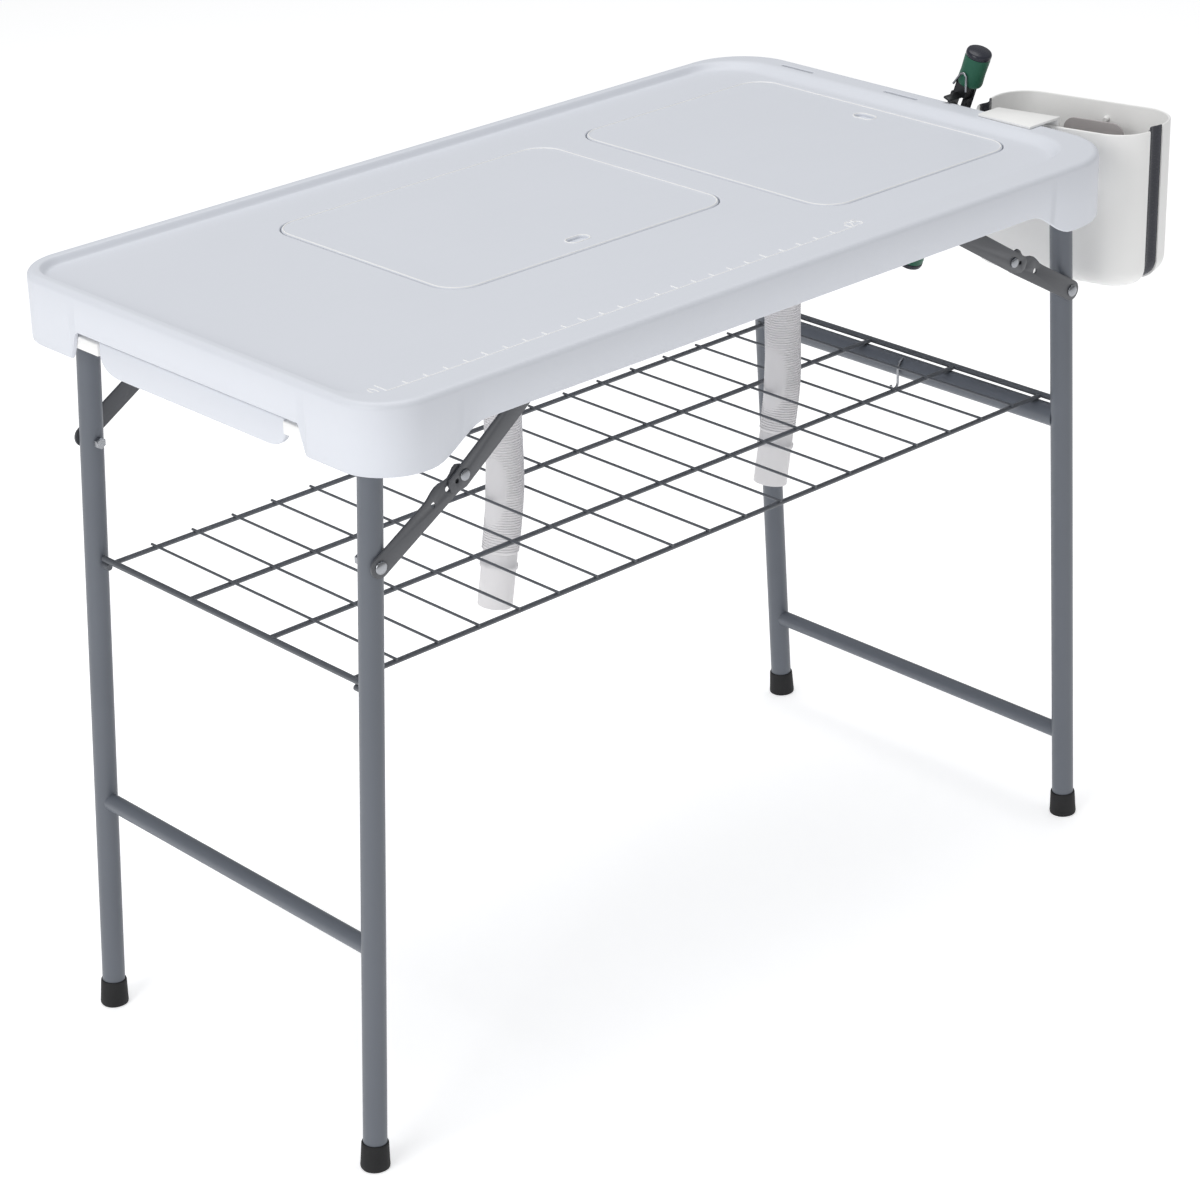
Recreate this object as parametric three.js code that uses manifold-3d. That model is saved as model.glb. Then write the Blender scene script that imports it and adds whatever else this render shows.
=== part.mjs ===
// Folding fish cleaning table with two sinks, drain hoses, a wire shelf, a collapsible bin and a clamp.
// Millimetres, +Z up, front long side toward -Y, origin on the floor under the middle of the whole object.
import * as THREE from 'three';
import { mergeVertices } from 'three/addons/utils/BufferGeometryUtils.js';
import Module from 'manifold-3d';

const wasm = await Module();
wasm.setup();

// Running gap between pieces that touch, cut overrun, and the number of sides of round pieces
const seatGap = 0.3;
const overrun = 4;
const tubeSides = 16;
const smallSides = 12;
const wireSides = 6;
const endWireSides = 8;
const cornerSteps = 5;
const binCornerSteps = 3;

// Table top
const topLength = 1068;
const topWidth = 600;
const topHeight = 855;
const topCorner = 80;
const leftEndReach = 11;
const leftCorner = 58;
const rimRound = 12;
const rimDrop = 8;
const rimWidth = 14;
const rimSlope = 6;
const frontRimWidth = 36;
const endRimFlat = 28;
const endRimSlope = 22;
const plateThickness = 5;
const skirtWall = 4.5;
const skirtDepth = 43;
const lobeDepth = 74;
const leftLobeLength = 88;
const rightLobeLength = 128;
const lobeAlongWidth = 115;
const longWave = 70;
const endWave = 14;

// Knife slots in the right end rim
const slotCount = 3;
const slotLength = 51;
const slotWidth = 5;
const slotPitch = 164;
const slotInset = 21;
const firstSlotY = 181.5;

// Lids and sinks
const lidSideMargin = 102;
const lidLong = topWidth - lidSideMargin * 2;
const lidShort = 300;
const lidCorner = 34;
const lidGap = 1.5;
const fingerLength = 26;
const fingerWidth = 13;
const fingerInset = 30;
const lidSpacing = 47;
const lidBackMargin = 90;
const rightLidY = 10;
const lidLedge = 9;
const basinWall = 3;
const basinDepth = 82;
const flangeReach = 10;
const flangeThickness = 3;

// Drains and hoses
const leftDrainCell = 7;
const rightDrainCell = 15;
const drainY = 31;
const drainHoleRadius = 19;
const drainFlangeRadius = 24;
const drainFlangeThickness = 2.5;
const drainBore = 15;
const drainCollarRadius = 23;
const drainCollarLength = 8;
const drainBarbLength = 14;
const hoseRadius = 23;
const hoseRibDepth = 2.2;
const hoseWall = 1.6;
const hoseRibPitch = 6.5;
const hosePoints = 8;
const boreRibStep = 5;
const cuffLength = 62;
const cuffRadius = 22.5;
const cuffRidge = 1.5;
const cuffRidgeLength = 6;
const cuffRidgeShare = 0.2;
const cuffWall = 2.5;

// Hose routes below the drains, as distances along X, Y and Z from the drain's lower face
const leftHoseRoute = [[0, 0, 0], [0, 0, -60], [0, 0, -130], [0, 0, -200], [-5, 0, -240], [-11, 0, -275]];
const rightHoseRoute = [[0, 0, 0], [0, 0, -60], [0, 0, -130], [0, 0, -200], [-5, 0, -235], [-10, 0, -262]];

// Leg frames
const tubeRadius = 12.7;
const tubeWall = 1.2;
const pivotInset = 37;
const pivotDrop = 49;
const leftLegInset = 72;
const rightLegInset = 64;
const splayAngle = THREE.MathUtils.degToRad(3.2);
const capHeight = 30;
const capTopRadius = 14.4;
const capFootRadius = 15.8;
const capFloor = 6;
const spreaderRadius = 9.5;
const leftSpreaderHeight = 252;
const rightSpreaderHeight = 110;
const crossTubeDrop = 332;
const crossTubeHeight = topHeight - crossTubeDrop;

// Long rails under the top, which carry the frames and the braces
const railInset = 38;
const railThickness = 2.5;
const railBelowPivot = 10;
const railFlange = 18;
const railEar = 16.5;

// Folding braces
const linkWidth = 23;
const linkThickness = 2.5;
const leftLowerLinkLength = 125.2;
const leftUpperLinkLength = 137.4;
const rightLowerLinkLength = 120.4;
const rightUpperLinkLength = 133.8;
const leftBraceBoltDrop = 185;
const rightBraceBoltDrop = 171;
const leftBraceBoltHeight = topHeight - leftBraceBoltDrop;
const rightBraceBoltHeight = topHeight - rightBraceBoltDrop;
const braceStudInset = 248;
const braceStudDrop = 40;
const linkTip = 10;
const boltRadius = 3;
const boltHeadRadius = 7;
const boltHeadHeight = 3;
const nutRadius = 6.5;
const nutHeight = 5;
const rivetHeadRadius = 6;
const rivetHeadHeight = 2;
const lockHoleRadius = 3;
const lockHoleStep = 22;

// Wire shelf
const shelfSideClear = 29.5;
const shelfPastTube = 8.2;
const shelfCells = 19;
const longWireRadius = 2.75;
const crossWireRadius = 1.5;
const endWireRadius = 3.5;
const endWireClear = 1.3;
const longWireCount = 4;
const wireSink = 0.5;
const wireTip = 4;
const pinClear = 1.7;
const pinPastLegMiddle = 4;
const hookWireRadius = 1.6;
const hookDrop = 16;
const hookCurl = 6;
const hookSteps = 16;
const hookY = 2;

// Carry handle under the left end
const handleHalfLength = 150;
const handleTopGap = 4;
const handleDepth = 34;
const handleThickness = 8;
const handleCorner = 16;
const handleAxisDrop = 13;
const clipThickness = 12;
const clipHeight = 14;
const clipLength = 54;
const handlePinRadius = 3;
const handlePinLength = 9;

// Bin
const binStandoff = 76.5;
const binPastBracket = 16.5;
const binTurn = THREE.MathUtils.degToRad(13);
const binLength = 219;
const binWidth = 118;
const binHeight = 185;
const binRimDrop = 7;
const binCorner = 44;
const binWall = 3;
const binInnerDepth = 34;
const binBellowsWidth = 30;
const binBottomRound = 24;
const bellowsInset = 1.5;
const bracketWidth = 76;
const bracketThickness = 3;
const bracketPastSlot = 5.5;
const bracketTabDrop = 16;
const bracketTabThickness = 3.6;
const bracketTabLength = 46;
const bracketLipDrop = 34;
const dividerWidth = 76;
const dividerHeight = 167;
const dividerThickness = 2.5;
const dividerOffset = 84;
const dividerForward = 14;
const dividerFoot = 14;
const dividerCorner = 14;

// Clamp
const clampStandoff = 18;
const clampY = -33;
const clampTilt = THREE.MathUtils.degToRad(20);
const clampWidth = 22;
const clampPlate = 4;
const clampJawReach = 28;
const clampEarRadius = 8;
const clampEarThickness = 3.4;
const clampPinRadius = 3;
const clampPinHead = 2;
const upperLeverLength = 74;
const lowerLeverLength = 196;
const gripRadius = 15;
const upperGripLength = 44;
const lowerGripLength = 58;

// Heights and half sizes that follow from the driving dimensions
const halfLength = topLength / 2;
const halfWidth = topWidth / 2;
const leftEnd = halfLength + leftEndReach;
const surfaceHeight = topHeight - rimDrop;
const plateBottom = surfaceHeight - plateThickness;
const skirtBottom = topHeight - skirtDepth;
const lobeBottom = topHeight - lobeDepth;
const pivotX = halfLength - pivotInset;
const rightLidX = pivotX - tubeRadius - seatGap - flangeReach - lidShort / 2;
const leftLidX = rightLidX - lidShort / 2 - lidSpacing - lidLong / 2;
const leftLidY = halfWidth - lidBackMargin - lidShort / 2;
const pivotHeight = topHeight - pivotDrop;
const legSpread = { left: halfWidth - leftLegInset, right: halfWidth - rightLegInset };
const shelfHalfWidth = legSpread.left - shelfSideClear;
const braceBoltHeight = { left: leftBraceBoltHeight, right: rightBraceBoltHeight };
const lowerLinkLength = { left: leftLowerLinkLength, right: rightLowerLinkLength };
const upperLinkLength = { left: leftUpperLinkLength, right: rightUpperLinkLength };
const legLength = pivotHeight / Math.cos(splayAngle);
const legXAt = (height) => pivotX + (pivotHeight - height) * Math.tan(splayAngle);
const railY = halfWidth - railInset;
const railBottom = pivotHeight - railBelowPivot;
const braceStudX = halfLength - braceStudInset;
const braceStudHeight = topHeight - braceStudDrop;
const longWireHeight = crossTubeHeight + tubeRadius + seatGap + longWireRadius;
const endWireHeight = longWireHeight - longWireRadius + endWireRadius;
const crossWireHeight = longWireHeight + longWireRadius + crossWireRadius - wireSink;
const shelfLeft = -legXAt(endWireHeight);
const shelfRight = legXAt(crossTubeHeight) + shelfPastTube;
const shelfPitch = (shelfRight - shelfLeft) / shelfCells;
const endWireReach = legSpread.left - tubeRadius - endWireClear;
const pinInner = shelfHalfWidth + wireTip + pinClear;
const pinOuter = legSpread.left + pinPastLegMiddle;
const lastSlotY = firstSlotY - slotPitch * (slotCount - 1);
const bracketCentreY = lastSlotY + bracketPastSlot;
const binY = bracketCentreY - binPastBracket;
const basinBottom = plateBottom - seatGap - basinDepth;

const finish = (color, roughness, metalness) =>
  new THREE.MeshStandardMaterial({ color, roughness, metalness });
const materials = {
  whitePlastic: finish(0xe4e6eb, 0.5, 0),
  warmPlastic: finish(0xe6e5e0, 0.45, 0),
  greyPlastic: finish(0xb4b4b2, 0.5, 0),
  hosePlastic: finish(0xcdcbcd, 0.5, 0),
  greyPaint: finish(0x70757d, 0.4, 0.3),
  darkWire: finish(0x62666c, 0.4, 0.4),
  zinc: finish(0xb9bcc0, 0.3, 0.9),
  blackRubber: finish(0x1d1d1f, 0.8, 0),
  slateRubber: finish(0x3d3f48, 0.7, 0),
  blackSteel: finish(0x222428, 0.4, 0.5),
  greenGrip: finish(0x1d5a41, 0.55, 0),
};

const table = new THREE.Group();

function addPiece(parent, name, geometry, material, place = [0, 0, 0], turn = [0, 0, 0]) {
  const piece = new THREE.Mesh(geometry, material);
  piece.name = name;
  piece.position.set(...place);
  piece.rotation.set(...turn);
  parent.add(piece);
  return piece;
}

function addGroup(parent, place, turn = [0, 0, 0]) {
  const group = new THREE.Group();
  group.position.set(...place);
  group.rotation.set(...turn);
  parent.add(group);
  return group;
}

// A closed geometry as a solid for cutting and joining
function solidOf(geometry) {
  const bare = geometry.index ? geometry.clone() : geometry;
  bare.deleteAttribute('normal');
  bare.deleteAttribute('uv');
  const merged = mergeVertices(bare);
  return new wasm.Manifold(new wasm.Mesh({
    numProp: 3,
    vertProperties: new Float32Array(merged.attributes.position.array),
    triVerts: new Uint32Array(merged.index.array),
  }));
}

function geometryOf(solid) {
  const mesh = solid.getMesh();
  const geometry = new THREE.BufferGeometry();
  geometry.setAttribute('position', new THREE.BufferAttribute(new Float32Array(mesh.vertProperties), 3));
  geometry.setIndex(new THREE.BufferAttribute(new Uint32Array(mesh.triVerts), 1));
  geometry.computeVertexNormals();
  return geometry;
}

const joined = (solids) => solids.reduce((sum, solid) => sum.add(solid));

// Rectangle with round corners as a closed outline
function roundedRectangle(length, width, radius, Outline = THREE.Shape) {
  const outline = new Outline();
  const x = length / 2 - radius;
  const y = width / 2 - radius;
  outline.absarc(x, y, radius, 0, Math.PI / 2);
  outline.absarc(-x, y, radius, Math.PI / 2, Math.PI);
  outline.absarc(-x, -y, radius, Math.PI, Math.PI * 3 / 2);
  outline.absarc(x, -y, radius, Math.PI * 3 / 2, Math.PI * 2);
  return outline;
}

const extruded = (outline, depth, steps = cornerSteps) =>
  new THREE.ExtrudeGeometry(outline, { depth, bevelEnabled: false, curveSegments: steps });

// A slab of an outline that stands between two heights
const slab = (outline, bottom, top, x = 0, y = 0) => extruded(outline, top - bottom).translate(x, y, bottom);

// A plate with its outline in X and Z, from one Y to another
function upright(outline, nearY, farY, steps = cornerSteps) {
  return extruded(outline, farY - nearY, steps).rotateX(Math.PI / 2).translate(0, farY, 0);
}

const box = (x0, x1, y0, y1, z0, z1) =>
  new THREE.BoxGeometry(x1 - x0, y1 - y0, z1 - z0).translate((x0 + x1) / 2, (y0 + y1) / 2, (z0 + z1) / 2);

// Round bar along Y between two places
const barAlongY = (radius, nearY, farY, sides) =>
  new THREE.CylinderGeometry(radius, radius, farY - nearY, sides).translate(0, (nearY + farY) / 2, 0);

const barAlongX = (radius, x0, x1, sides) =>
  new THREE.CylinderGeometry(radius, radius, x1 - x0, sides).rotateZ(Math.PI / 2).translate((x0 + x1) / 2, 0, 0);

// Turned ring or cap from a closed profile of [radius, height] points, about Z
function turned(profile, sides) {
  const points = profile.map(([radius, height]) => new THREE.Vector2(radius, height));
  return new THREE.LatheGeometry(points, sides).rotateX(Math.PI / 2);
}

// Hollow tube about Z between two heights
function hollowTube(radius, wall, bottom, top, sides) {
  return turned([[radius - wall, bottom], [radius, bottom], [radius, top], [radius - wall, top],
    [radius - wall, bottom]], sides);
}

// The top's outline drawn in all round by a distance, and at the right end and the front by their own
function topOutline(inset, rightInset = inset, frontInset = inset) {
  const outline = new THREE.Shape();
  const leftRadius = leftCorner - inset;
  const rightRadius = topCorner - inset;
  const leftX = -leftEnd + inset + leftRadius;
  const rightX = halfLength - rightInset - rightRadius;
  const backY = (radius) => halfWidth - inset - radius;
  const frontY = (radius) => frontInset + radius - halfWidth;
  outline.absarc(rightX, backY(rightRadius), rightRadius, 0, Math.PI / 2);
  outline.absarc(leftX, backY(leftRadius), leftRadius, Math.PI / 2, Math.PI);
  outline.absarc(leftX, frontY(leftRadius), leftRadius, Math.PI, Math.PI * 3 / 2);
  outline.absarc(rightX, frontY(rightRadius), rightRadius, Math.PI * 3 / 2, Math.PI * 2);
  return outline;
}

// Opening between two lobes, whose edges are waves from the lobes' bottom up to the skirt's
function skirtWindow(from, to, wave) {
  const window = new THREE.Shape();
  const steps = cornerSteps + 1;
  const heightAt = (share) =>
    lobeBottom + (skirtBottom - lobeBottom) * (1 - Math.cos(share * Math.PI)) / 2;
  window.moveTo(from - wave / 2, lobeBottom - overrun);
  for (let step = 0; step <= steps; step += 1) {
    window.lineTo(from + (step / steps - 1 / 2) * wave, heightAt(step / steps));
  }
  for (let step = steps; step >= 0; step -= 1) {
    window.lineTo(to - (step / steps - 1 / 2) * wave, heightAt(step / steps));
  }
  window.lineTo(to + wave / 2, lobeBottom - overrun);
  return window;
}

function lidOpening(long, short, gap) {
  return roundedRectangle(long + gap * 2, short + gap * 2, lidCorner + gap);
}

// Table top: rolled rim, sunk surface, wavy skirt with four corner lobes
function tabletopGeometry() {
  const shell = new THREE.ExtrudeGeometry(topOutline(rimRound), {
    depth: lobeDepth, bevelSize: rimRound, bevelThickness: rimRound, bevelSegments: 3,
    curveSegments: cornerSteps,
  }).translate(0, 0, topHeight - rimRound - lobeDepth);
  const reach = leftEnd + overrun;
  const sideReach = halfWidth + overrun;
  const belowLobes = lobeBottom - rimRound * 2 - overrun;
  const underside = box(-reach, reach, -sideReach, sideReach, belowLobes, lobeBottom);
  let top = solidOf(shell).subtract(solidOf(underside));
  top = top.subtract(solidOf(slab(topOutline(skirtWall), lobeBottom - overrun, plateBottom)));
  const sunkInset = rimWidth + rimSlope;
  const sunkRight = endRimFlat + endRimSlope + rimSlope;
  const sunkOutline = topOutline(sunkInset, sunkRight, frontRimWidth + rimSlope);
  const sunk = new THREE.ExtrudeGeometry(sunkOutline, {
    depth: rimDrop, bevelSize: rimSlope, bevelThickness: rimDrop, bevelSegments: 1,
    curveSegments: cornerSteps,
  }).translate(0, 0, surfaceHeight + rimDrop);
  top = top.subtract(solidOf(sunk));
  const ramp = new THREE.Shape([
    new THREE.Vector2(halfLength - endRimFlat - endRimSlope - rimSlope * 2, surfaceHeight),
    new THREE.Vector2(halfLength - endRimFlat - endRimSlope, surfaceHeight),
    new THREE.Vector2(halfLength - endRimFlat, topHeight),
    new THREE.Vector2(halfLength - endRimFlat - endRimSlope - rimSlope * 2, topHeight + overrun),
  ]);
  const rampSide = halfWidth - rimWidth - (topCorner - rimWidth) / 2;
  top = top.subtract(solidOf(upright(ramp, -rampSide, rampSide)));
  const longWindow = skirtWindow(leftLobeLength - halfLength, halfLength - rightLobeLength, longWave);
  top = top.subtract(solidOf(upright(longWindow, -sideReach, sideReach)));
  const lobeY = halfWidth - lobeAlongWidth;
  const endWindow = skirtWindow(-lobeY, lobeY, endWave);
  top = top.subtract(solidOf(upright(endWindow, -reach, reach).rotateZ(Math.PI / 2)));
  const leftHole = lidOpening(lidLong, lidShort, lidGap);
  const rightHole = lidOpening(lidShort, lidLong, lidGap);
  const holeTop = topHeight + overrun;
  top = top.subtract(solidOf(slab(leftHole, plateBottom - overrun, holeTop, leftLidX, leftLidY)));
  top = top.subtract(solidOf(slab(rightHole, plateBottom - overrun, holeTop, rightLidX, rightLidY)));
  for (let index = 0; index < slotCount; index += 1) {
    const y = firstSlotY - slotPitch * index;
    const x = halfLength - slotInset;
    top = top.subtract(solidOf(box(x - slotWidth / 2, x + slotWidth / 2,
      y - slotLength / 2, y + slotLength / 2, plateBottom - overrun, holeTop)));
  }
  return geometryOf(top);
}

// Lids lie flush in the surface on the sink ledges, each with a round-ended finger hole
function lidGeometry(long, short, holeX, holeY, holeLength, holeWidth) {
  const outline = roundedRectangle(long, short, lidCorner);
  const hole = roundedRectangle(holeLength, holeWidth, Math.min(holeLength, holeWidth) / 2, THREE.Path);
  const offset = new THREE.Vector2(holeX, holeY);
  outline.holes.push(new THREE.Path(hole.getPoints(cornerSteps).map((point) => point.add(offset))));
  return extruded(outline, plateThickness - seatGap);
}

// A sink hangs from its flange under the surface, and the flange's inner edge is the lid's ledge
function basinGeometry(long, short, drainX, drainY) {
  const top = plateBottom - seatGap;
  const flange = roundedRectangle(long + flangeReach * 2, short + flangeReach * 2, lidCorner + flangeReach);
  const cavityRadius = lidCorner - lidLedge;
  const cavity = roundedRectangle(long - lidLedge * 2, short - lidLedge * 2, cavityRadius);
  const outerWall = roundedRectangle(long - lidLedge * 2 + basinWall * 2,
    short - lidLedge * 2 + basinWall * 2, cavityRadius + basinWall);
  const holeRadius = drainHoleRadius + seatGap;
  const hole = new THREE.CylinderGeometry(holeRadius, holeRadius, basinWall + overrun * 2, tubeSides)
    .rotateX(Math.PI / 2).translate(drainX, drainY, basinBottom + basinWall / 2);
  const solid = solidOf(slab(flange, top - flangeThickness, top))
    .add(solidOf(slab(outerWall, basinBottom, top - flangeThickness / 2)))
    .subtract(solidOf(slab(cavity, basinBottom + basinWall, top + overrun)))
    .subtract(solidOf(hole));
  return geometryOf(solid);
}

// Drain: strainer flange on the sink floor, collar below it, and a plain spigot for the hose
const drainFloor = basinBottom + basinWall + seatGap;
const drainCollarTop = basinBottom - seatGap;
const drainCollarBottom = drainCollarTop - drainCollarLength;
const drainBottom = drainCollarBottom - drainBarbLength;

function drainGeometry() {
  const spigot = (hoseRadius - hoseRibDepth - hoseWall) * Math.cos(Math.PI / hosePoints) - seatGap;
  return turned([[drainFlangeRadius, drainFloor], [drainFlangeRadius, drainFloor + drainFlangeThickness],
    [drainBore, drainFloor + drainFlangeThickness], [drainBore, drainBottom], [spigot, drainBottom],
    [spigot, drainCollarBottom], [drainCollarRadius, drainCollarBottom],
    [drainCollarRadius, drainCollarTop], [drainHoleRadius, drainCollarTop], [drainHoleRadius, drainFloor],
    [drainFlangeRadius, drainFloor]], tubeSides);
}

// Ribbed hose along a route: zigzag ribs outside, a plain bore inside, straight ends one diameter long
function ribbedHose(route) {
  const points = route.map((point) => new THREE.Vector3(...point));
  const curve = new THREE.CatmullRomCurve3(points, false, 'centripetal');
  const length = curve.getLength();
  const plain = hoseRadius * 2;
  const ribs = Math.floor((length - plain * 2) / hoseRibPitch);
  const pitch = (length - plain * 2) / ribs;
  const root = hoseRadius - hoseRibDepth;
  const outer = [{ at: 0, radius: root }, { at: plain - pitch / 2, radius: root }];
  const bore = [{ at: 0, radius: root - hoseWall }];
  for (let rib = 0; rib < ribs; rib += 1) {
    outer.push({ at: plain + pitch * rib, radius: root });
    outer.push({ at: plain + pitch * (rib + 1 / 2), radius: hoseRadius });
    if (rib % boreRibStep === 0) bore.push({ at: plain + pitch * rib, radius: root - hoseWall });
  }
  outer.push({ at: length - plain, radius: root }, { at: length, radius: root });
  bore.push({ at: length, radius: root - hoseWall });
  const side = new THREE.Vector3(0, 1, 0);
  const ringPoints = ({ at, radius }) => {
    const centre = curve.getPointAt(Math.min(1, at / length));
    const along = curve.getTangentAt(Math.min(1, at / length));
    const across = new THREE.Vector3().crossVectors(side, along).normalize();
    const other = new THREE.Vector3().crossVectors(along, across).normalize();
    return Array.from({ length: hosePoints }, (_, index) => {
      const angle = (index + 1 / 2) / hosePoints * Math.PI * 2;
      return centre.clone().addScaledVector(across, radius * Math.cos(angle))
        .addScaledVector(other, radius * Math.sin(angle));
    });
  };
  const rings = [...outer.map(ringPoints), ...bore.map(ringPoints).reverse()];
  const positions = rings.flat().flatMap((point) => point.toArray());
  const faces = [];
  for (let ring = 0; ring < rings.length; ring += 1) {
    const next = (ring + 1) % rings.length;
    for (let index = 0; index < hosePoints; index += 1) {
      const after = (index + 1) % hosePoints;
      const [a, b] = [ring * hosePoints + index, ring * hosePoints + after];
      const [c, d] = [next * hosePoints + after, next * hosePoints + index];
      faces.push(a, b, c, a, c, d);
    }
  }
  const crests = outer.filter(({ radius }) => radius === hoseRadius).map(ringPoints);
  let gap = Infinity;
  for (let crest = 1; crest < crests.length; crest += 1) {
    crests[crest].forEach((point, index) => {
      gap = Math.min(gap, point.distanceTo(crests[crest - 1][index]));
    });
  }
  console.log(`hose ${length.toFixed(1)} mm long, ${ribs} ribs, crests at least ${gap.toFixed(2)} mm apart`);
  const geometry = new THREE.BufferGeometry();
  geometry.setAttribute('position', new THREE.Float32BufferAttribute(positions, 3));
  geometry.setIndex(faces);
  geometry.computeVertexNormals();
  return { geometry, end: curve.getPointAt(1), along: curve.getTangentAt(1) };
}

// Smooth end cuff with one ridge, below the hose's end
function cuffGeometry() {
  const ridgeTop = -cuffLength * cuffRidgeShare;
  return turned([[cuffRadius - cuffWall, 0], [cuffRadius - cuffWall, -cuffLength], [cuffRadius, -cuffLength],
    [cuffRadius, ridgeTop - cuffRidgeLength], [cuffRadius + cuffRidge, ridgeTop - cuffRidgeLength],
    [cuffRadius + cuffRidge, ridgeTop], [cuffRadius, ridgeTop], [cuffRadius, 0],
    [cuffRadius - cuffWall, 0]], tubeSides);
}

// Drains stand in the middle of shelf cells, so that the hoses hang through them
const cellMiddle = (cell) => shelfLeft + shelfPitch * (cell + 1 / 2);
const leftDrainX = cellMiddle(leftDrainCell);
const rightDrainX = cellMiddle(rightDrainCell);

function addSink(side, lidX, lidY, long, short, drainX, route) {
  const base = [lidX, lidY, 0];
  addPiece(table, `${side}_sink_basin`, basinGeometry(long, short, drainX - lidX, drainY - lidY),
    materials.whitePlastic, base);
  addPiece(table, `${side}_drain_fitting`, drainGeometry(), materials.greyPlastic, [drainX, drainY, 0]);
  const start = [drainX, drainY, drainCollarBottom - seatGap];
  const hose = ribbedHose(route);
  addPiece(table, `${side}_drain_hose`, hose.geometry, materials.hosePlastic, start);
  const cuff = addPiece(table, `${side}_hose_cuff`, cuffGeometry(), materials.hosePlastic);
  cuff.quaternion.setFromUnitVectors(new THREE.Vector3(0, 0, -1), hose.along);
  cuff.position.set(...start).add(hose.end).addScaledVector(hose.along, seatGap);
}

addPiece(table, 'tabletop', tabletopGeometry(), materials.whitePlastic);
const fingerReach = lidShort / 2 - fingerInset;
addPiece(table, 'left_lid', lidGeometry(lidLong, lidShort, 0, -fingerReach, fingerLength, fingerWidth),
  materials.whitePlastic, [leftLidX, leftLidY, plateBottom + seatGap]);
addPiece(table, 'right_lid', lidGeometry(lidShort, lidLong, fingerReach, 0, fingerWidth, fingerLength),
  materials.whitePlastic, [rightLidX, rightLidY, plateBottom + seatGap]);
addSink('left', leftLidX, leftLidY, lidLong, lidShort, leftDrainX, leftHoseRoute);
addSink('right', rightLidX, rightLidY, lidShort, lidLong, rightDrainX, rightHoseRoute);

// Carry handle: a plate on two pins between clips fixed to the end skirt's lobes
const handleAxisHeight = skirtBottom - handleAxisDrop;
const clipNear = handleHalfLength + seatGap;
const clipFar = clipNear + clipLength;

function handleGeometry() {
  const outline = new THREE.Shape();
  const top = skirtBottom - handleTopGap;
  const bottom = top - handleDepth;
  outline.moveTo(-handleHalfLength, top);
  outline.lineTo(-handleHalfLength, bottom + handleCorner);
  outline.quadraticCurveTo(-handleHalfLength, bottom, -handleHalfLength + handleCorner * 2, bottom);
  outline.lineTo(handleHalfLength - handleCorner * 2, bottom);
  outline.quadraticCurveTo(handleHalfLength, bottom, handleHalfLength, bottom + handleCorner);
  outline.lineTo(handleHalfLength, top);
  const plate = upright(outline, -handleThickness / 2, handleThickness / 2).rotateZ(Math.PI / 2);
  const depth = handlePinLength + seatGap;
  const pinHole = (sign) => solidOf(barAlongY(handlePinRadius + seatGap,
    sign * handleHalfLength - depth, sign * handleHalfLength + depth, smallSides)
    .translate(0, 0, handleAxisHeight));
  return geometryOf(solidOf(plate).subtract(pinHole(-1)).subtract(pinHole(1)));
}

function clipGeometry(sign) {
  const near = Math.min(sign * clipNear, sign * clipFar);
  const far = Math.max(sign * clipNear, sign * clipFar);
  const block = box(-clipThickness / 2, clipThickness / 2, near, far,
    handleAxisHeight - clipHeight / 2, handleAxisHeight + clipHeight / 2);
  const pin = barAlongY(handlePinRadius, -handlePinLength, handlePinLength, smallSides)
    .translate(0, sign * clipNear, handleAxisHeight);
  return geometryOf(solidOf(block).add(solidOf(pin)));
}

const clipX = -leftEnd + skirtWall + seatGap + clipThickness / 2;
addPiece(table, 'carry_handle', handleGeometry(), materials.whitePlastic, [clipX, 0, 0]);
addPiece(table, 'back_handle_clip', clipGeometry(1), materials.warmPlastic, [clipX, 0, 0]);
addPiece(table, 'front_handle_clip', clipGeometry(-1), materials.warmPlastic, [clipX, 0, 0]);

// Long rails under the top: an upright web with a flange, ears round the pivot tubes, studs for the braces
function railGeometry(sign) {
  const web = new THREE.Shape();
  web.moveTo(-pivotX - railEar, pivotHeight);
  web.absarc(-pivotX, pivotHeight, railEar, Math.PI, Math.PI * 3 / 2);
  web.lineTo(-pivotX + railEar, railBottom);
  web.lineTo(pivotX - railEar, railBottom);
  web.absarc(pivotX, pivotHeight, railEar, Math.PI * 3 / 2, Math.PI * 2);
  web.lineTo(pivotX + railEar, plateBottom - seatGap);
  web.lineTo(-pivotX - railEar, plateBottom - seatGap);
  const outerFace = railY + railThickness / 2;
  const flangeTop = plateBottom - seatGap;
  const reach = pivotX + railEar;
  let rail = solidOf(upright(web, railY - railThickness / 2, outerFace))
    .add(solidOf(box(-reach, reach, railY - railFlange, railY, flangeTop - railThickness, flangeTop)));
  [-1, 1].forEach((end) => {
    const side = end * sign < 0 ? 'left' : 'right';
    const studStart = legSpread[side] + tubeRadius + seatGap * 2 + linkThickness;
    const hole = barAlongY(tubeRadius + seatGap, railY - overrun, railY + overrun, tubeSides)
      .translate(end * pivotX, 0, pivotHeight);
    const stud = barAlongY(boltRadius, studStart, railY, smallSides)
      .translate(end * braceStudX, 0, braceStudHeight);
    rail = rail.subtract(solidOf(hole)).add(solidOf(stud));
  });
  return geometryOf(sign > 0 ? rail : rail.rotate([0, 0, 180]));
}

addPiece(table, 'front_rail', railGeometry(-1), materials.greyPaint);
addPiece(table, 'back_rail', railGeometry(1), materials.greyPaint);

// Leg frames: a pivot tube, two legs with rubber caps, a spreader, and on the right a tube for the shelf
const alongLeg = (height) => (pivotHeight - height) / Math.cos(splayAngle);

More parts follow.
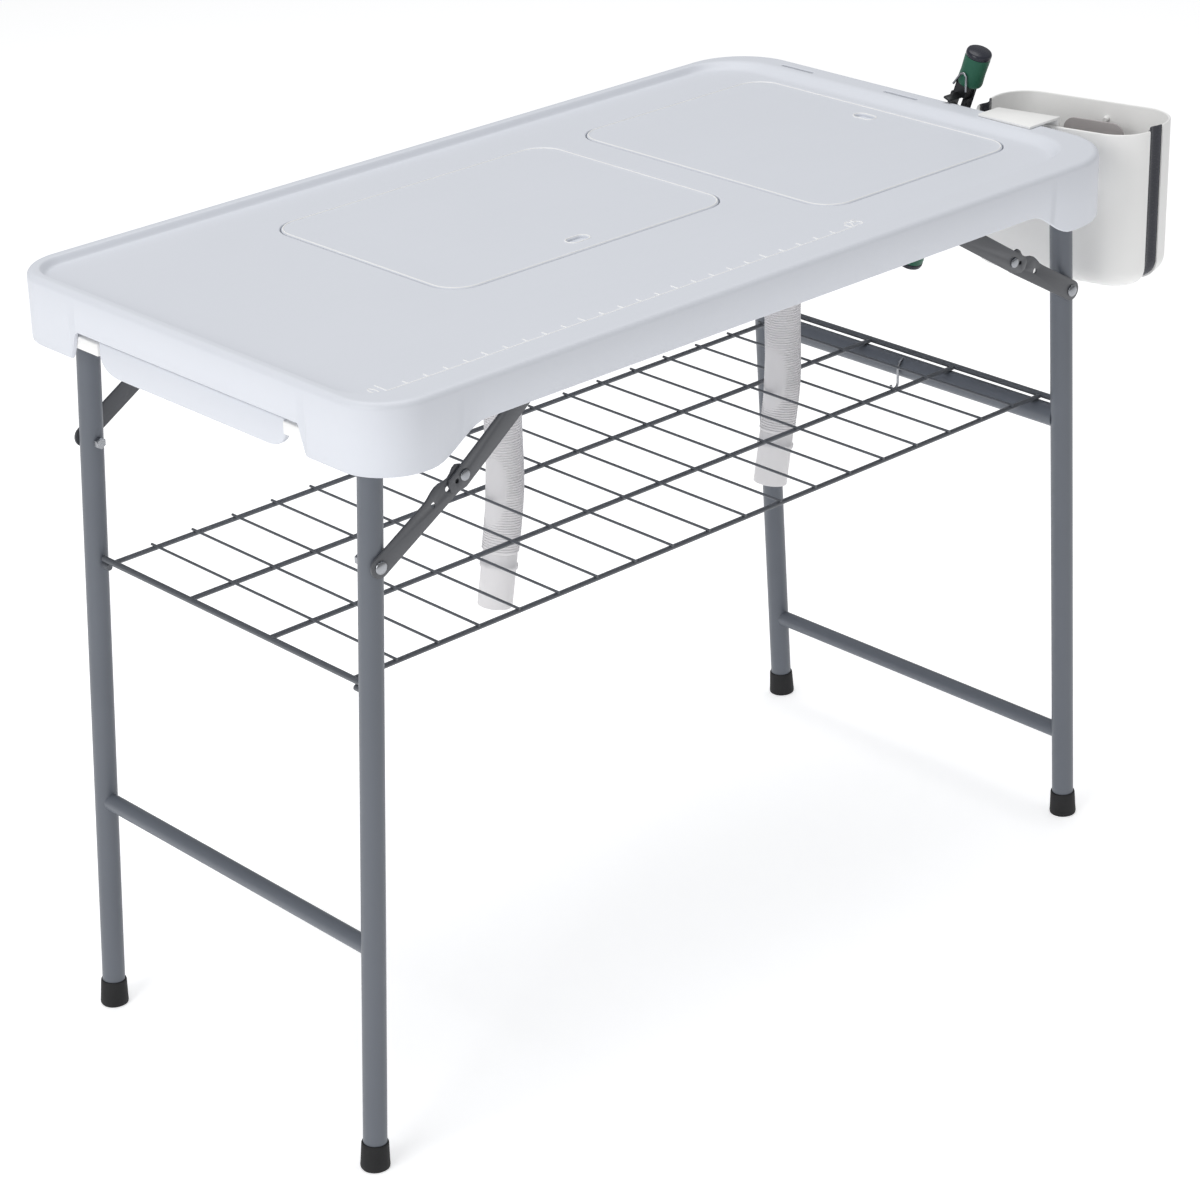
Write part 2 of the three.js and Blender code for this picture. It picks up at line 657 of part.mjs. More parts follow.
function legGeometry(sign, boltAlong, slotted) {
  const top = -tubeRadius - seatGap;
  const bottom = -legLength + capFloor;
  let leg = solidOf(hollowTube(tubeRadius, tubeWall, bottom, top, tubeSides));
  const reach = tubeRadius + overrun;
  const boltHole = barAlongY(boltRadius + seatGap, -reach, reach, smallSides).translate(0, 0, -boltAlong);
  leg = leg.subtract(solidOf(boltHole));
  if (slotted) {
    const slot = barAlongY(endWireRadius + seatGap, 0, reach, smallSides).translate(0, 0, -pinAlong);
    const raised = slot.clone().translate(0, 0, endWireRadius * 2);
    const cut = solidOf(slot).add(solidOf(raised));
    leg = leg.subtract(sign > 0 ? cut.rotate([0, 0, 180]) : cut);
  }
  return geometryOf(leg);
}

function capGeometry(splay) {
  const floor = -legLength - overrun;
  const rim = -legLength + capHeight;
  const bore = tubeRadius + seatGap;
  const cup = turned([[0, floor], [capFootRadius, floor], [capTopRadius, rim], [bore, rim],
    [bore, -legLength + capFloor - seatGap], [0, -legLength + capFloor - seatGap]], tubeSides);
  const reach = capFootRadius * 2;
  const ground = box(-reach, reach, -reach, reach, -reach, 0).rotateY(-splay).translate(0, 0, -legLength);
  return geometryOf(solidOf(cup).subtract(solidOf(ground)));
}

function boltGeometry(sign) {
  const outer = tubeRadius + seatGap * 2 + linkThickness;
  const inner = tubeRadius + seatGap;
  const head = barAlongY(boltHeadRadius, outer, outer + boltHeadHeight, smallSides);
  const shank = barAlongY(boltRadius, -inner - nutHeight, outer + boltHeadHeight / 2, smallSides);
  const nut = barAlongY(nutRadius, -inner - nutHeight, -inner, wireSides);
  const bolt = joined([head, shank, nut].map(solidOf));
  return geometryOf(sign > 0 ? bolt : bolt.rotate([0, 0, 180]));
}

// Folding braces in two flat links, each in its own plane outside the legs
function linkGeometry(length, holes) {
  const outline = new THREE.Shape();
  const half = linkWidth / 2;
  outline.absarc(0, 0, linkTip, Math.PI / 2, Math.PI * 3 / 2);
  outline.lineTo(linkTip, -half);
  outline.lineTo(length - linkTip, -half);
  outline.absarc(length, 0, linkTip, -Math.PI / 2, Math.PI / 2);
  outline.lineTo(length - linkTip, half);
  outline.lineTo(linkTip, half);
  holes.forEach(([x, radius]) => {
    const hole = new THREE.Path();
    hole.absarc(x, 0, radius, 0, Math.PI * 2, true);
    outline.holes.push(hole);
  });
  return upright(outline, -linkThickness / 2, linkThickness / 2);
}

// Place of the elbow, hanging a little below the straight line from the leg bolt to the stud
function braceElbow(name) {
  const boltHeight = braceBoltHeight[name];
  const lower = lowerLinkLength[name];
  const upper = upperLinkLength[name];
  const bolt = new THREE.Vector2(legXAt(boltHeight), boltHeight);
  const stud = new THREE.Vector2(braceStudX, braceStudHeight);
  const span = stud.distanceTo(bolt);
  const along = (lower ** 2 - upper ** 2 + span ** 2) / (span * 2);
  const aside = Math.sqrt(lower ** 2 - along ** 2);
  const direction = stud.clone().sub(bolt).normalize();
  const elbow = bolt.clone().addScaledVector(direction, along)
    .addScaledVector(new THREE.Vector2(direction.y, -direction.x), -aside);
  return { lower, upper, bolt, stud, elbow };
}

const pinAlong = alongLeg(endWireHeight - endWireRadius * 2 - seatGap);
const holeRadius = boltRadius + seatGap;

function addFrame(side) {
  const name = side < 0 ? 'left' : 'right';
  const splay = side < 0 ? splayAngle : -splayAngle;
  const frame = addGroup(table, [side * pivotX, 0, pivotHeight], [0, splay, 0]);
  const tubeEnd = railY + railThickness / 2 + seatGap;
  const pivotTube = hollowTube(tubeRadius, tubeWall, -tubeEnd, tubeEnd, tubeSides).rotateX(Math.PI / 2);
  addPiece(frame, `${name}_pivot_tube`, pivotTube, materials.greyPaint);
  const inner = legSpread[name] - tubeRadius - seatGap;
  const spreaderAlong = alongLeg(side < 0 ? leftSpreaderHeight : rightSpreaderHeight);
  addPiece(frame, `${name}_spreader`, hollowTube(spreaderRadius, tubeWall, -inner, inner, tubeSides)
    .rotateX(Math.PI / 2), materials.greyPaint, [0, 0, -spreaderAlong]);
  if (side > 0) {
    addPiece(frame, 'shelf_cross_tube', hollowTube(tubeRadius, tubeWall, -inner, inner, tubeSides)
      .rotateX(Math.PI / 2), materials.greyPaint, [0, 0, -alongLeg(crossTubeHeight)]);
  }
  [-1, 1].forEach((sign) => {
    const place = sign < 0 ? 'front' : 'back';
    const y = sign * legSpread[name];
    const boltAlong = alongLeg(braceBoltHeight[name]);
    const leg = legGeometry(sign, boltAlong, side < 0);
    addPiece(frame, `${name}_${place}_leg`, leg, materials.greyPaint, [0, y, 0]);
    addPiece(frame, `${name}_${place}_foot_cap`, capGeometry(splay), materials.blackRubber, [0, y, 0]);
    addPiece(frame, `${name}_${place}_leg_bolt`, boltGeometry(sign), materials.zinc, [0, y, -boltAlong]);
    if (side < 0) {
      const near = Math.min(sign * pinInner, sign * pinOuter);
      const far = Math.max(sign * pinInner, sign * pinOuter);
      const pin = barAlongY(endWireRadius, near, far, smallSides);
      addPiece(frame, `${place}_shelf_pin`, pin, materials.darkWire, [0, 0, -pinAlong]);
    }
  });
}

function addBraces(side) {
  const name = side < 0 ? 'left' : 'right';
  const { lower, upper, bolt, stud, elbow } = braceElbow(name);
  const lowerTurn = -Math.atan2(elbow.y - bolt.y, side * (elbow.x - bolt.x));
  const upperTurn = -Math.atan2(elbow.y - stud.y, side * (elbow.x - stud.x));
  [-1, 1].forEach((sign) => {
    const place = sign < 0 ? 'front' : 'back';
    const lowerY = sign * (legSpread[name] + tubeRadius + seatGap + linkThickness / 2);
    const inFace = legSpread[name] + tubeRadius + seatGap * 2 + linkThickness;
    const upperY = sign * (inFace + linkThickness / 2);
    const lockHoles = [1, 2].map((step) => [lower - lockHoleStep * step, lockHoleRadius]);
    const lowerLink = linkGeometry(lower, [[0, holeRadius], ...lockHoles]);
    addPiece(table, `${name}_${place}_lower_link`, lowerLink, materials.greyPaint,
      [side * bolt.x, lowerY, bolt.y], [0, lowerTurn, 0]);
    const upperLink = linkGeometry(upper, [[0, holeRadius], [upper, holeRadius]]);
    addPiece(table, `${name}_${place}_upper_link`, upperLink, materials.greyPaint,
      [side * stud.x, upperY, stud.y], [0, upperTurn, 0]);
    const headNear = inFace + linkThickness + seatGap;
    const head = solidOf(barAlongY(rivetHeadRadius, headNear, headNear + rivetHeadHeight, smallSides));
    const shank = solidOf(barAlongY(boltRadius, inFace, headNear + rivetHeadHeight / 2, smallSides));
    const rivet = head.add(shank);
    addPiece(table, `${name}_${place}_brace_rivet`, geometryOf(sign > 0 ? rivet : rivet.rotate([0, 0, 180])),
      materials.zinc, [side * elbow.x, 0, elbow.y]);
  });
}

[-1, 1].forEach((side) => {
  addFrame(side);
  addBraces(side);
});

// Wire shelf: thin cross wires on four long wires, with a thick wire at each end
function shelfGeometry() {
  const wires = [];
  for (let index = 0; index < longWireCount; index += 1) {
    const y = shelfHalfWidth * (index * 2 / (longWireCount - 1) - 1);
    wires.push(barAlongX(longWireRadius, shelfLeft, shelfRight, wireSides).translate(0, y, longWireHeight));
  }
  for (let index = 1; index < shelfCells; index += 1) {
    const reach = shelfHalfWidth + wireTip;
    wires.push(barAlongY(crossWireRadius, -reach, reach, wireSides)
      .translate(shelfLeft + shelfPitch * index, 0, crossWireHeight));
  }
  [shelfLeft, shelfRight].forEach((x) => {
    wires.push(barAlongY(endWireRadius, -endWireReach, endWireReach, endWireSides)
      .translate(x, 0, endWireHeight));
  });
  return geometryOf(joined(wires.map(solidOf)));
}

addPiece(table, 'wire_shelf', shelfGeometry(), materials.darkWire);

// Bent wire keeper on the shelf's cross tube, curled up at its free end
function hookGeometry() {
  const around = tubeRadius + hookWireRadius + seatGap * 2;
  const arcShares = [0.3, 0.45, 0.6, 0.8, 1];
  const points = arcShares.map((share) => {
    const angle = (1 + share) * Math.PI / 2;
    return [around * Math.cos(angle), around * Math.sin(angle)];
  });
  points.push([-around, -hookDrop]);
  points.push([-around - hookCurl, -hookDrop - hookCurl]);
  points.push([-around - hookCurl * 2, -hookDrop]);
  const route = points.map(([x, z]) => new THREE.Vector3(x, 0, z));
  const path = new THREE.CatmullRomCurve3(route, false, 'centripetal');
  const section = new THREE.Shape().absarc(0, 0, hookWireRadius, 0, Math.PI * 2);
  return new THREE.ExtrudeGeometry(section, { steps: hookSteps, curveSegments: 2, extrudePath: path });
}

addPiece(table, 'shelf_hook', hookGeometry(), materials.zinc,
  [legXAt(crossTubeHeight), hookY, crossTubeHeight]);

// Bin: two rigid half shells and a soft bellows between them
const binX = halfLength + binStandoff;
const binGroup = addGroup(table, [binX, binY, topHeight - binRimDrop], [0, 0, binTurn]);

function binBody(inset) {
  const round = binBottomRound;
  const side = inset + round;
  const outline = roundedRectangle(binWidth - side * 2, binLength - side * 2, binCorner - side);
  return solidOf(new THREE.ExtrudeGeometry(outline, {
    depth: binHeight, bevelSize: round, bevelThickness: round, bevelSegments: 3, curveSegments: binCornerSteps,
  }).translate(0, 0, -binHeight + side));
}

function binSlice(inset, x0, x1) {
  const reach = binLength;
  const slice = solidOf(box(x0, x1, -reach, reach, -binHeight * 2, 0));
  return geometryOf(binBody(inset).subtract(binBody(inset + binWall)).intersect(slice));
}

const innerFace = -binWidth / 2;
const bellowsStart = innerFace + binInnerDepth;
const bellowsEnd = bellowsStart + binBellowsWidth;
addPiece(binGroup, 'bin_inner_half', binSlice(0, innerFace - overrun, bellowsStart), materials.warmPlastic);
addPiece(binGroup, 'bin_outer_half', binSlice(0, bellowsEnd, binWidth / 2 + overrun), materials.warmPlastic);
addPiece(binGroup, 'bin_bellows', binSlice(bellowsInset, bellowsStart + seatGap, bellowsEnd - seatGap),
  materials.slateRubber);

// Divider plate that stands on the bin's floor on a turned foot
function dividerGeometry() {
  const plate = extruded(roundedRectangle(dividerWidth, dividerHeight, dividerCorner), dividerThickness)
    .rotateX(Math.PI / 2).rotateZ(Math.PI / 2).translate(0, 0, dividerHeight / 2);
  const footHalf = dividerWidth / 2 - dividerCorner;
  const foot = box(-dividerFoot, dividerThickness, -footHalf, footHalf, 0, dividerThickness);
  return geometryOf(solidOf(plate).add(solidOf(foot)));
}

addPiece(binGroup, 'bin_divider', dividerGeometry(), materials.greyPlastic,
  [innerFace + dividerOffset, -dividerForward, -binHeight + binWall + seatGap]);

// Bracket: a tab in the last slot, a plate over the end rim, and a lip inside the bin's wall
function bracketGeometry() {
  const slotX = halfLength - slotInset;
  const plateLow = topHeight + seatGap;
  const plateHigh = plateLow + bracketThickness;
  const inPlate = plateHigh - bracketThickness / 2;
  const tab = box(slotX - bracketTabThickness / 2, slotX + bracketTabThickness / 2,
    lastSlotY - bracketTabLength / 2, lastSlotY + bracketTabLength / 2, plateLow - bracketTabDrop, inPlate);
  const lipX = binX + (innerFace + binWall + seatGap) * Math.cos(binTurn);
  const lipY = binY + (innerFace + binWall + seatGap) * Math.sin(binTurn);
  const ahead = (bracketCentreY - lipY) / Math.cos(binTurn);
  const lip = box(0, bracketThickness, ahead - bracketWidth / 2, ahead + bracketWidth / 2,
    plateHigh - bracketLipDrop, inPlate).rotateZ(binTurn).translate(lipX, lipY, 0);
  const corner = (x, y) => new THREE.Vector2(x, y);
  const lipEdge = (y) => lipX + (bracketThickness - (y - lipY) * Math.sin(binTurn)) / Math.cos(binTurn);
  const near = bracketCentreY - bracketWidth / 2;
  const far = bracketCentreY + bracketWidth / 2;
  const plate = new THREE.Shape([corner(slotX - bracketTabThickness, near), corner(lipEdge(near), near),
    corner(lipEdge(far), far), corner(slotX - bracketTabThickness, far)]);
  return geometryOf(joined([solidOf(tab), solidOf(lip), solidOf(slab(plate, plateLow, plateHigh))]));
}

addPiece(table, 'bin_bracket', bracketGeometry(), materials.whitePlastic);

// Clamp on the right end rim: two levers on one pin, tilted along the end
const clampHeight = (topHeight + skirtBottom) / 2;
const clampGrip = (topHeight - skirtBottom) / 2 + seatGap;
const jawStart = (clampGrip + clampWidth / 2 * Math.sin(clampTilt)) / Math.cos(clampTilt);
const clamp = addGroup(table, [halfLength + clampStandoff, clampY, clampHeight], [clampTilt, 0, 0]);

function leverGeometry(sign, jawAt, handleEnd, earInner) {
  const half = clampWidth / 2;
  const level = (z) => sign * z;
  const span = (z0, z1) => [Math.min(level(z0), level(z1)), Math.max(level(z0), level(z1))];
  const jaw = box(-clampJawReach, clampEarRadius, -half, half, ...span(jawAt, jawAt + clampPlate));
  const handle = box(clampEarRadius - clampPlate, clampEarRadius, -half, half, ...span(jawAt, handleEnd));
  const earOuter = earInner + clampEarThickness;
  const ears = [[-earOuter, -earInner], [earInner, earOuter]].map(([near, far]) =>
    box(-clampEarRadius, clampEarRadius, near, far, ...span(-clampEarRadius, jawAt + clampPlate / 2)));
  const hole = barAlongY(clampPinRadius + seatGap, -clampWidth, clampWidth, smallSides);
  return geometryOf(joined([jaw, handle, ...ears].map(solidOf)).subtract(solidOf(hole)));
}

function gripGeometry(length) {
  const tip = gripRadius / 2;
  return turned([[0, 0], [gripRadius - tip / 2, 0], [gripRadius, tip], [gripRadius, length - tip],
    [gripRadius - tip / 2, length], [0, length]], smallSides);
}

function hollowGrip(length, depth) {
  const slotSide = clampPlate / 2 + seatGap;
  const slotHalf = clampWidth / 2 + seatGap;
  const slot = box(-slotSide, slotSide, -slotHalf, slotHalf, -overrun, depth + seatGap);
  return geometryOf(solidOf(gripGeometry(length)).subtract(solidOf(slot)));
}

const outerEar = clampWidth / 2 - clampEarThickness;
const innerEar = outerEar - seatGap - clampEarThickness;
const gripX = clampEarRadius - clampPlate / 2;
const gripHold = upperGripLength * 3 / 4;
const upperLever = leverGeometry(1, jawStart, upperLeverLength, outerEar);
const lowerLever = leverGeometry(-1, jawStart, lowerLeverLength, innerEar);
addPiece(clamp, 'clamp_upper_lever', upperLever, materials.blackSteel);
addPiece(clamp, 'clamp_lower_lever', lowerLever, materials.blackSteel);
addPiece(clamp, 'clamp_upper_grip', hollowGrip(upperGripLength, gripHold), materials.greenGrip,
  [gripX, 0, upperLeverLength - gripHold]);
addPiece(clamp, 'clamp_lower_grip', hollowGrip(lowerGripLength, gripHold), materials.greenGrip,
  [gripX, 0, gripHold - lowerLeverLength], [Math.PI, 0, 0]);
const pinHalf = clampWidth / 2 + seatGap;
const pinEnd = pinHalf + clampPinHead;
const pinHeadRadius = clampPinRadius + clampPinHead;
addPiece(clamp, 'clamp_pin', geometryOf(joined([
  barAlongY(clampPinRadius, -pinEnd, pinEnd, smallSides),
  barAlongY(pinHeadRadius, pinHalf, pinEnd, smallSides),
  barAlongY(pinHeadRadius, -pinEnd, -pinHalf, smallSides),
].map(solidOf))), materials.zinc);

// The origin stands on the floor under the middle of the whole object
table.updateMatrixWorld(true);
const bounds = new THREE.Box3().setFromObject(table, true);
const middle = bounds.getCenter(new THREE.Vector3());
table.position.set(-middle.x, -middle.y, -bounds.min.z);
table.updateMatrixWorld(true);
console.log(`moved by ${table.position.toArray().map((value) => value.toFixed(3)).join(', ')} mm`);

export default table;
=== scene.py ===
import math
import bpy
import bmesh
from mathutils import Matrix, Vector


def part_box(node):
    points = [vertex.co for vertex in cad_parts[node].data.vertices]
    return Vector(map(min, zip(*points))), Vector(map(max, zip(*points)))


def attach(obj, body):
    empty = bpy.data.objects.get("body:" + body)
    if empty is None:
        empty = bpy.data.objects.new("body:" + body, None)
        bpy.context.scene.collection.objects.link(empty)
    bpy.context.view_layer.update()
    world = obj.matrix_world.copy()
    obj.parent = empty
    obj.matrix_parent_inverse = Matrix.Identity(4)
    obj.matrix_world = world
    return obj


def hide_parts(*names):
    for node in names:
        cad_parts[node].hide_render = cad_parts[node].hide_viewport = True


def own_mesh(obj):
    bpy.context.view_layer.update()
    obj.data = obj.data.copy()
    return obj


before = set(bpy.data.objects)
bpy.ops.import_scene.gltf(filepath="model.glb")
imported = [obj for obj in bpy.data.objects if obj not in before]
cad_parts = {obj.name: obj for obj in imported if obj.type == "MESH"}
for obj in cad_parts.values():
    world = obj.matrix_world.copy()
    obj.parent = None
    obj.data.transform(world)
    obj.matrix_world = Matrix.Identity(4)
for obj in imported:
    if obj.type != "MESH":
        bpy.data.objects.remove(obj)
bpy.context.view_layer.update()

# Pieces are drawn in millimetres from the floor under the middle of the long rails
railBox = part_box("front_rail")
midX = (railBox[0].x + railBox[1].x) / 2


def at(x, y, z):
    return Vector((midX + x / 1000, y / 1000, z / 1000))


def addToScene(item):
    bpy.context.scene.collection.objects.link(item)
    return item


# Camera: place in the same millimetres, angles in degrees, lens and picture centre in pixels of a picture
# that is this wide, sensor in millimetres, and how far it sees in metres
view = {"place": (-2385.15, -2584.44, 2021.82), "azimuth": -40.5536, "elevation": 24.8473,
        "roll": -2.34205, "lens": 3451.01, "centre": 480, "width": 1200, "sensor": 36, "farEnd": 60}


def addCamera():
    azimuth, elevation, roll = (math.radians(view[key]) for key in ("azimuth", "elevation", "roll"))
    ahead = Vector((-math.sin(azimuth) * math.cos(elevation), math.cos(azimuth) * math.cos(elevation),
                    -math.sin(elevation)))
    side = Vector((math.cos(azimuth), math.sin(azimuth), 0))
    above = side.cross(ahead)
    right = side * math.cos(roll) + above * math.sin(roll)
    up = above * math.cos(roll) - side * math.sin(roll)
    lens = bpy.data.cameras.new("camera")
    lens.sensor_width = view["sensor"]
    lens.lens = view["lens"] / view["width"] * lens.sensor_width
    lens.shift_x = 0.5 - view["centre"] / view["width"]
    lens.clip_end = view["farEnd"]
    camera = addToScene(bpy.data.objects.new("camera", lens))
    camera.matrix_world = Matrix((right, up, -ahead)).transposed().to_4x4()
    camera.location = at(*view["place"])
    bpy.context.scene.camera = camera


addCamera()
bpy.context.scene.view_settings.view_transform = "Standard"
print("camera placed")


# Shader maths: an expression on these values adds its Math nodes
class Shade:
    def __init__(self, maker, socket):
        self.maker = maker
        self.socket = socket

    def join(self, operation, first, second):
        return self.maker.node("ShaderNodeMath", {"operation": operation}, {0: first, 1: second})

    def __add__(self, other):
        return self.join("ADD", self, other)

    def __radd__(self, other):
        return self.join("ADD", other, self)

    def __mul__(self, other):
        return self.join("MULTIPLY", self, other)

    def __rmul__(self, other):
        return self.join("MULTIPLY", other, self)


class Finish:
    def __init__(self, name, **fixed):
        self.material = bpy.data.materials.new(name)
        self.material.use_nodes = True
        self.tree = self.material.node_tree
        self.shader = self.tree.nodes["Principled BSDF"]
        self.place = self.node("ShaderNodeTexCoord", output="Object")
        for socket, value in fixed.items():
            self.shader.inputs[socket.replace("_", " ")].default_value = value

    def node(self, kind, settings=None, sockets=None, output=0):
        made = self.tree.nodes.new(kind)
        for key, value in (settings or {}).items():
            if key == "stops":
                while len(made.color_ramp.elements) < len(value):
                    made.color_ramp.elements.new(0.5)
                for stop, (position, colour) in zip(made.color_ramp.elements, value):
                    stop.position = position
                    stop.color = colour
            else:
                setattr(made, key, value)
        for key, value in (sockets or {}).items():
            self.feed(made.inputs[key], value)
        return Shade(self, made.outputs[output])

    def feed(self, socket, value):
        if isinstance(value, Shade):
            self.tree.links.new(value.socket, socket)
        else:
            socket.default_value = value

    def noise(self, scale, detail=2, roughness=0.5, stretch=None):
        place = self.place
        if stretch:
            place = self.node("ShaderNodeMapping", {"vector_type": "POINT"},
                              {"Vector": self.place, "Scale": stretch})
        return self.node("ShaderNodeTexNoise", {"noise_dimensions": "3D"},
                         {"Vector": place, "Scale": scale, "Detail": detail, "Roughness": roughness})

    def blend(self, factor, first, second):
        mix = {"data_type": "RGBA", "blend_type": "MIX"}
        return self.node("ShaderNodeMix", mix, {0: factor, 6: first, 7: second}, output=2)

    def bump(self, height, grain):
        return self.node("ShaderNodeBump", {}, {"Height": height, "Strength": grain["strength"],
                                                "Distance": grain["height"]})

    def drive(self, **sockets):
        for socket, value in sockets.items():
            self.feed(self.shader.inputs[socket.replace("_", " ")], value)
        return self.material


def tone(red, green, blue):
    return (red, green, blue, 1)


# How the finishes vary over a surface: sizes of their patterns, and how far they sway the shine
looks = {"plastic": {"clouds": 6, "streaks": 30, "streakShare": 0.3, "sway": 0.16, "specular": 0.45},
         "coat": {"clouds": 9, "sway": 0.12, "specular": 0.5},
         "steel": {"brushed": 260, "dull": 45, "shine": 0.16, "sway": 0.2, "strength": 0.12,
                   "height": 0.0002},
         "rubber": {"dust": 14, "dustFrom": 0.35, "dustTo": 0.8, "dusting": 0.6, "sway": 0.15,
                    "specular": 0.4}}


# Moulded plastic: two close tones in soft clouds, a pebbled grain and a slightly uneven shine
def mouldedPlastic(name, light, shadow, shine, grain):
    look = looks["plastic"]
    finish = Finish(name, Specular_IOR_Level=look["specular"])
    clouds = finish.noise(look["clouds"], 3)
    pebble = finish.noise(grain["scale"], 2, 0.6)
    streaks = finish.noise(look["streaks"], stretch=(0.3, 3, 3))
    mixed = clouds * (1 - look["streakShare"]) + streaks * look["streakShare"]
    return finish.drive(Base_Color=finish.blend(mixed, light, shadow),
                        Roughness=shine + pebble * look["sway"], Normal=finish.bump(pebble, grain))


# Powder coat: a fine orange peel over an even dark tone
def powderCoat(name, light, shadow, shine, peel):
    look = looks["coat"]
    finish = Finish(name, Specular_IOR_Level=look["specular"])
    clouds = finish.noise(look["clouds"], 3)
    fine = finish.noise(peel["scale"], 3, 0.55)
    return finish.drive(Base_Color=finish.blend(clouds, light, shadow), Roughness=shine + fine * look["sway"],
                        Normal=finish.bump(fine, peel))


# Plated steel: brushed shine with a few dull places
def platedSteel(name, light, shadow):
    look = looks["steel"]
    finish = Finish(name, Metallic=1.0)
    brushed = finish.noise(look["brushed"], 3, 0.6, stretch=(1, 8, 1))
    dull = finish.noise(look["dull"])
    return finish.drive(Base_Color=finish.blend(dull, light, shadow),
                        Roughness=look["shine"] + brushed * look["sway"], Normal=finish.bump(brushed, look))


# Rubber: a dusting of a lighter tone on a soft grain
def rubber(name, deep, dusty, shine, grain):
    look = looks["rubber"]
    finish = Finish(name, Specular_IOR_Level=look["specular"])
    dust = finish.noise(look["dust"], 4, 0.6)
    fine = finish.noise(grain["scale"], 2, 0.6)
    stops = [(look["dustFrom"], tone(0, 0, 0)), (look["dustTo"], tone(1, 1, 1))]
    masked = finish.node("ShaderNodeValToRGB", {"stops": stops}, {"Fac": dust})
    return finish.drive(Base_Color=finish.blend(masked * look["dusting"], deep, dusty),
                        Roughness=shine + fine * look["sway"], Normal=finish.bump(fine, grain))


finishes = {
    "whitePlastic": mouldedPlastic("whitePlastic", tone(0.70, 0.722, 0.775), tone(0.676, 0.698, 0.75), 0.36,
                                   {"scale": 900, "strength": 0.16, "height": 0.0003}),
    "warmPlastic": mouldedPlastic("warmPlastic", tone(0.92, 0.917, 0.905), tone(0.89, 0.887, 0.875), 0.32,
                                  {"scale": 1100, "strength": 0.1, "height": 0.0002}),
    "greyPlastic": mouldedPlastic("greyPlastic", tone(0.44, 0.41, 0.41), tone(0.40, 0.375, 0.375), 0.42,
                                  {"scale": 1000, "strength": 0.12, "height": 0.0002}),
    "hosePlastic": mouldedPlastic("hosePlastic", tone(0.79, 0.775, 0.785), tone(0.75, 0.736, 0.745), 0.4,
                                  {"scale": 800, "strength": 0.1, "height": 0.0002}),
    "greyPaint": powderCoat("greyPaint", tone(0.132, 0.146, 0.172), tone(0.114, 0.127, 0.15), 0.32,
                            {"scale": 700, "strength": 0.14, "height": 0.0002}),
    "bracePaint": powderCoat("bracePaint", tone(0.092, 0.096, 0.106), tone(0.078, 0.081, 0.09), 0.3,
                             {"scale": 700, "strength": 0.14, "height": 0.0002}),
    "darkWire": powderCoat("darkWire", tone(0.105, 0.113, 0.128), tone(0.088, 0.095, 0.108), 0.34,
                           {"scale": 900, "strength": 0.12, "height": 0.0002}),
    "blackSteel": powderCoat("blackSteel", tone(0.012, 0.013, 0.015), tone(0.008, 0.009, 0.01), 0.26,
                             {"scale": 800, "strength": 0.12, "height": 0.0002}),
    "zinc": platedSteel("zinc", tone(0.45, 0.46, 0.48), tone(0.24, 0.25, 0.27)),
    "blackRubber": rubber("blackRubber", tone(0.008, 0.008, 0.009), tone(0.022, 0.022, 0.023), 0.6,
                          {"scale": 700, "strength": 0.2, "height": 0.0003}),
    "slateRubber": rubber("slateRubber", tone(0.022, 0.024, 0.035), tone(0.034, 0.036, 0.05), 0.18,
                          {"scale": 900, "strength": 0.1, "height": 0.0002}),
    "greenGrip": rubber("greenGrip", tone(0.012, 0.105, 0.06), tone(0.03, 0.15, 0.088), 0.4,
                        {"scale": 600, "strength": 0.2, "height": 0.0003}),
}
print("finishes made", len(finishes))


# Drawing helpers: rings of points, joined into skins
def loft(shell, rings, capStart=False, capEnd=False, closed=False, place=None):
    made = []
    for ring in rings:
        points = [place @ Vector(point) if place else Vector(point) for point in ring]
        made.append([shell.verts.new(point) for point in points])
    pairs = list(zip(made, made[1:]))
    if closed:
        pairs.append((made[-1], made[0]))
    for first, second in pairs:
        for index in range(len(first)):
            after = (index + 1) % len(first)
            shell.faces.new((first[index], first[after], second[after], second[index]))
    if capStart:
        shell.faces.new(made[0])
    if capEnd:
        shell.faces.new(made[-1])
    return made


def fill(shell, *loops):
    edges = [shell.edges.get(pair) or shell.edges.new(pair)
             for loop in loops for pair in zip(loop, loop[1:] + loop[:1])]
    bmesh.ops.triangle_fill(shell, use_beauty=True, use_dissolve=False, edges=edges)


def lathe(shell, profile, sides, place=None, closed=True):
    turns = [2 * math.pi * (index + 0.5) / sides for index in range(sides)]
    rings = [[(radius * math.cos(turn), radius * math.sin(turn), height) for turn in turns]
             for radius, height in profile]
    loft(shell, rings, closed=closed, place=place)


def rod(shell, radius, low, high, sides=16, place=None):
    lathe(shell, [(0, low), (radius, low), (radius, high), (0, high)], sides, place, closed=False)


# Place that turns Z to run from one point to another
def along(start, end):
    start, end = Vector(start), Vector(end)
    turn = (end - start).to_track_quat("Z", "Y").to_matrix().to_4x4()
    return Matrix.Translation(start) @ turn, (end - start).length


def tube(shell, start, end, radius, wall, sides, lip=0.4):
    place, length = along(start, end)
    inner = radius - wall
    lathe(shell, [(inner, 0), (radius - lip, 0), (radius, lip), (radius, length / 2), (radius, length - lip),
                  (radius - lip, length), (inner, length)], sides, place)


def arc(x, y, radius, start, end, steps):
    turns = [math.radians(start + (end - start) * step / steps) for step in range(steps + 1)]
    return [(x + radius * math.cos(turn), y + radius * math.sin(turn)) for turn in turns]


# Quarter round in shares of its radius: the first of each pair grows to 1 while the second falls to 0
def quarter(steps):
    turns = [math.pi / 2 * step / steps for step in range(steps + 1)]
    return [(1 - math.cos(turn), 1 - math.sin(turn)) for turn in turns]


def circle(x, y, radius, steps=20):
    return arc(x, y, radius, 0, 360 - 360 / steps, steps - 1)


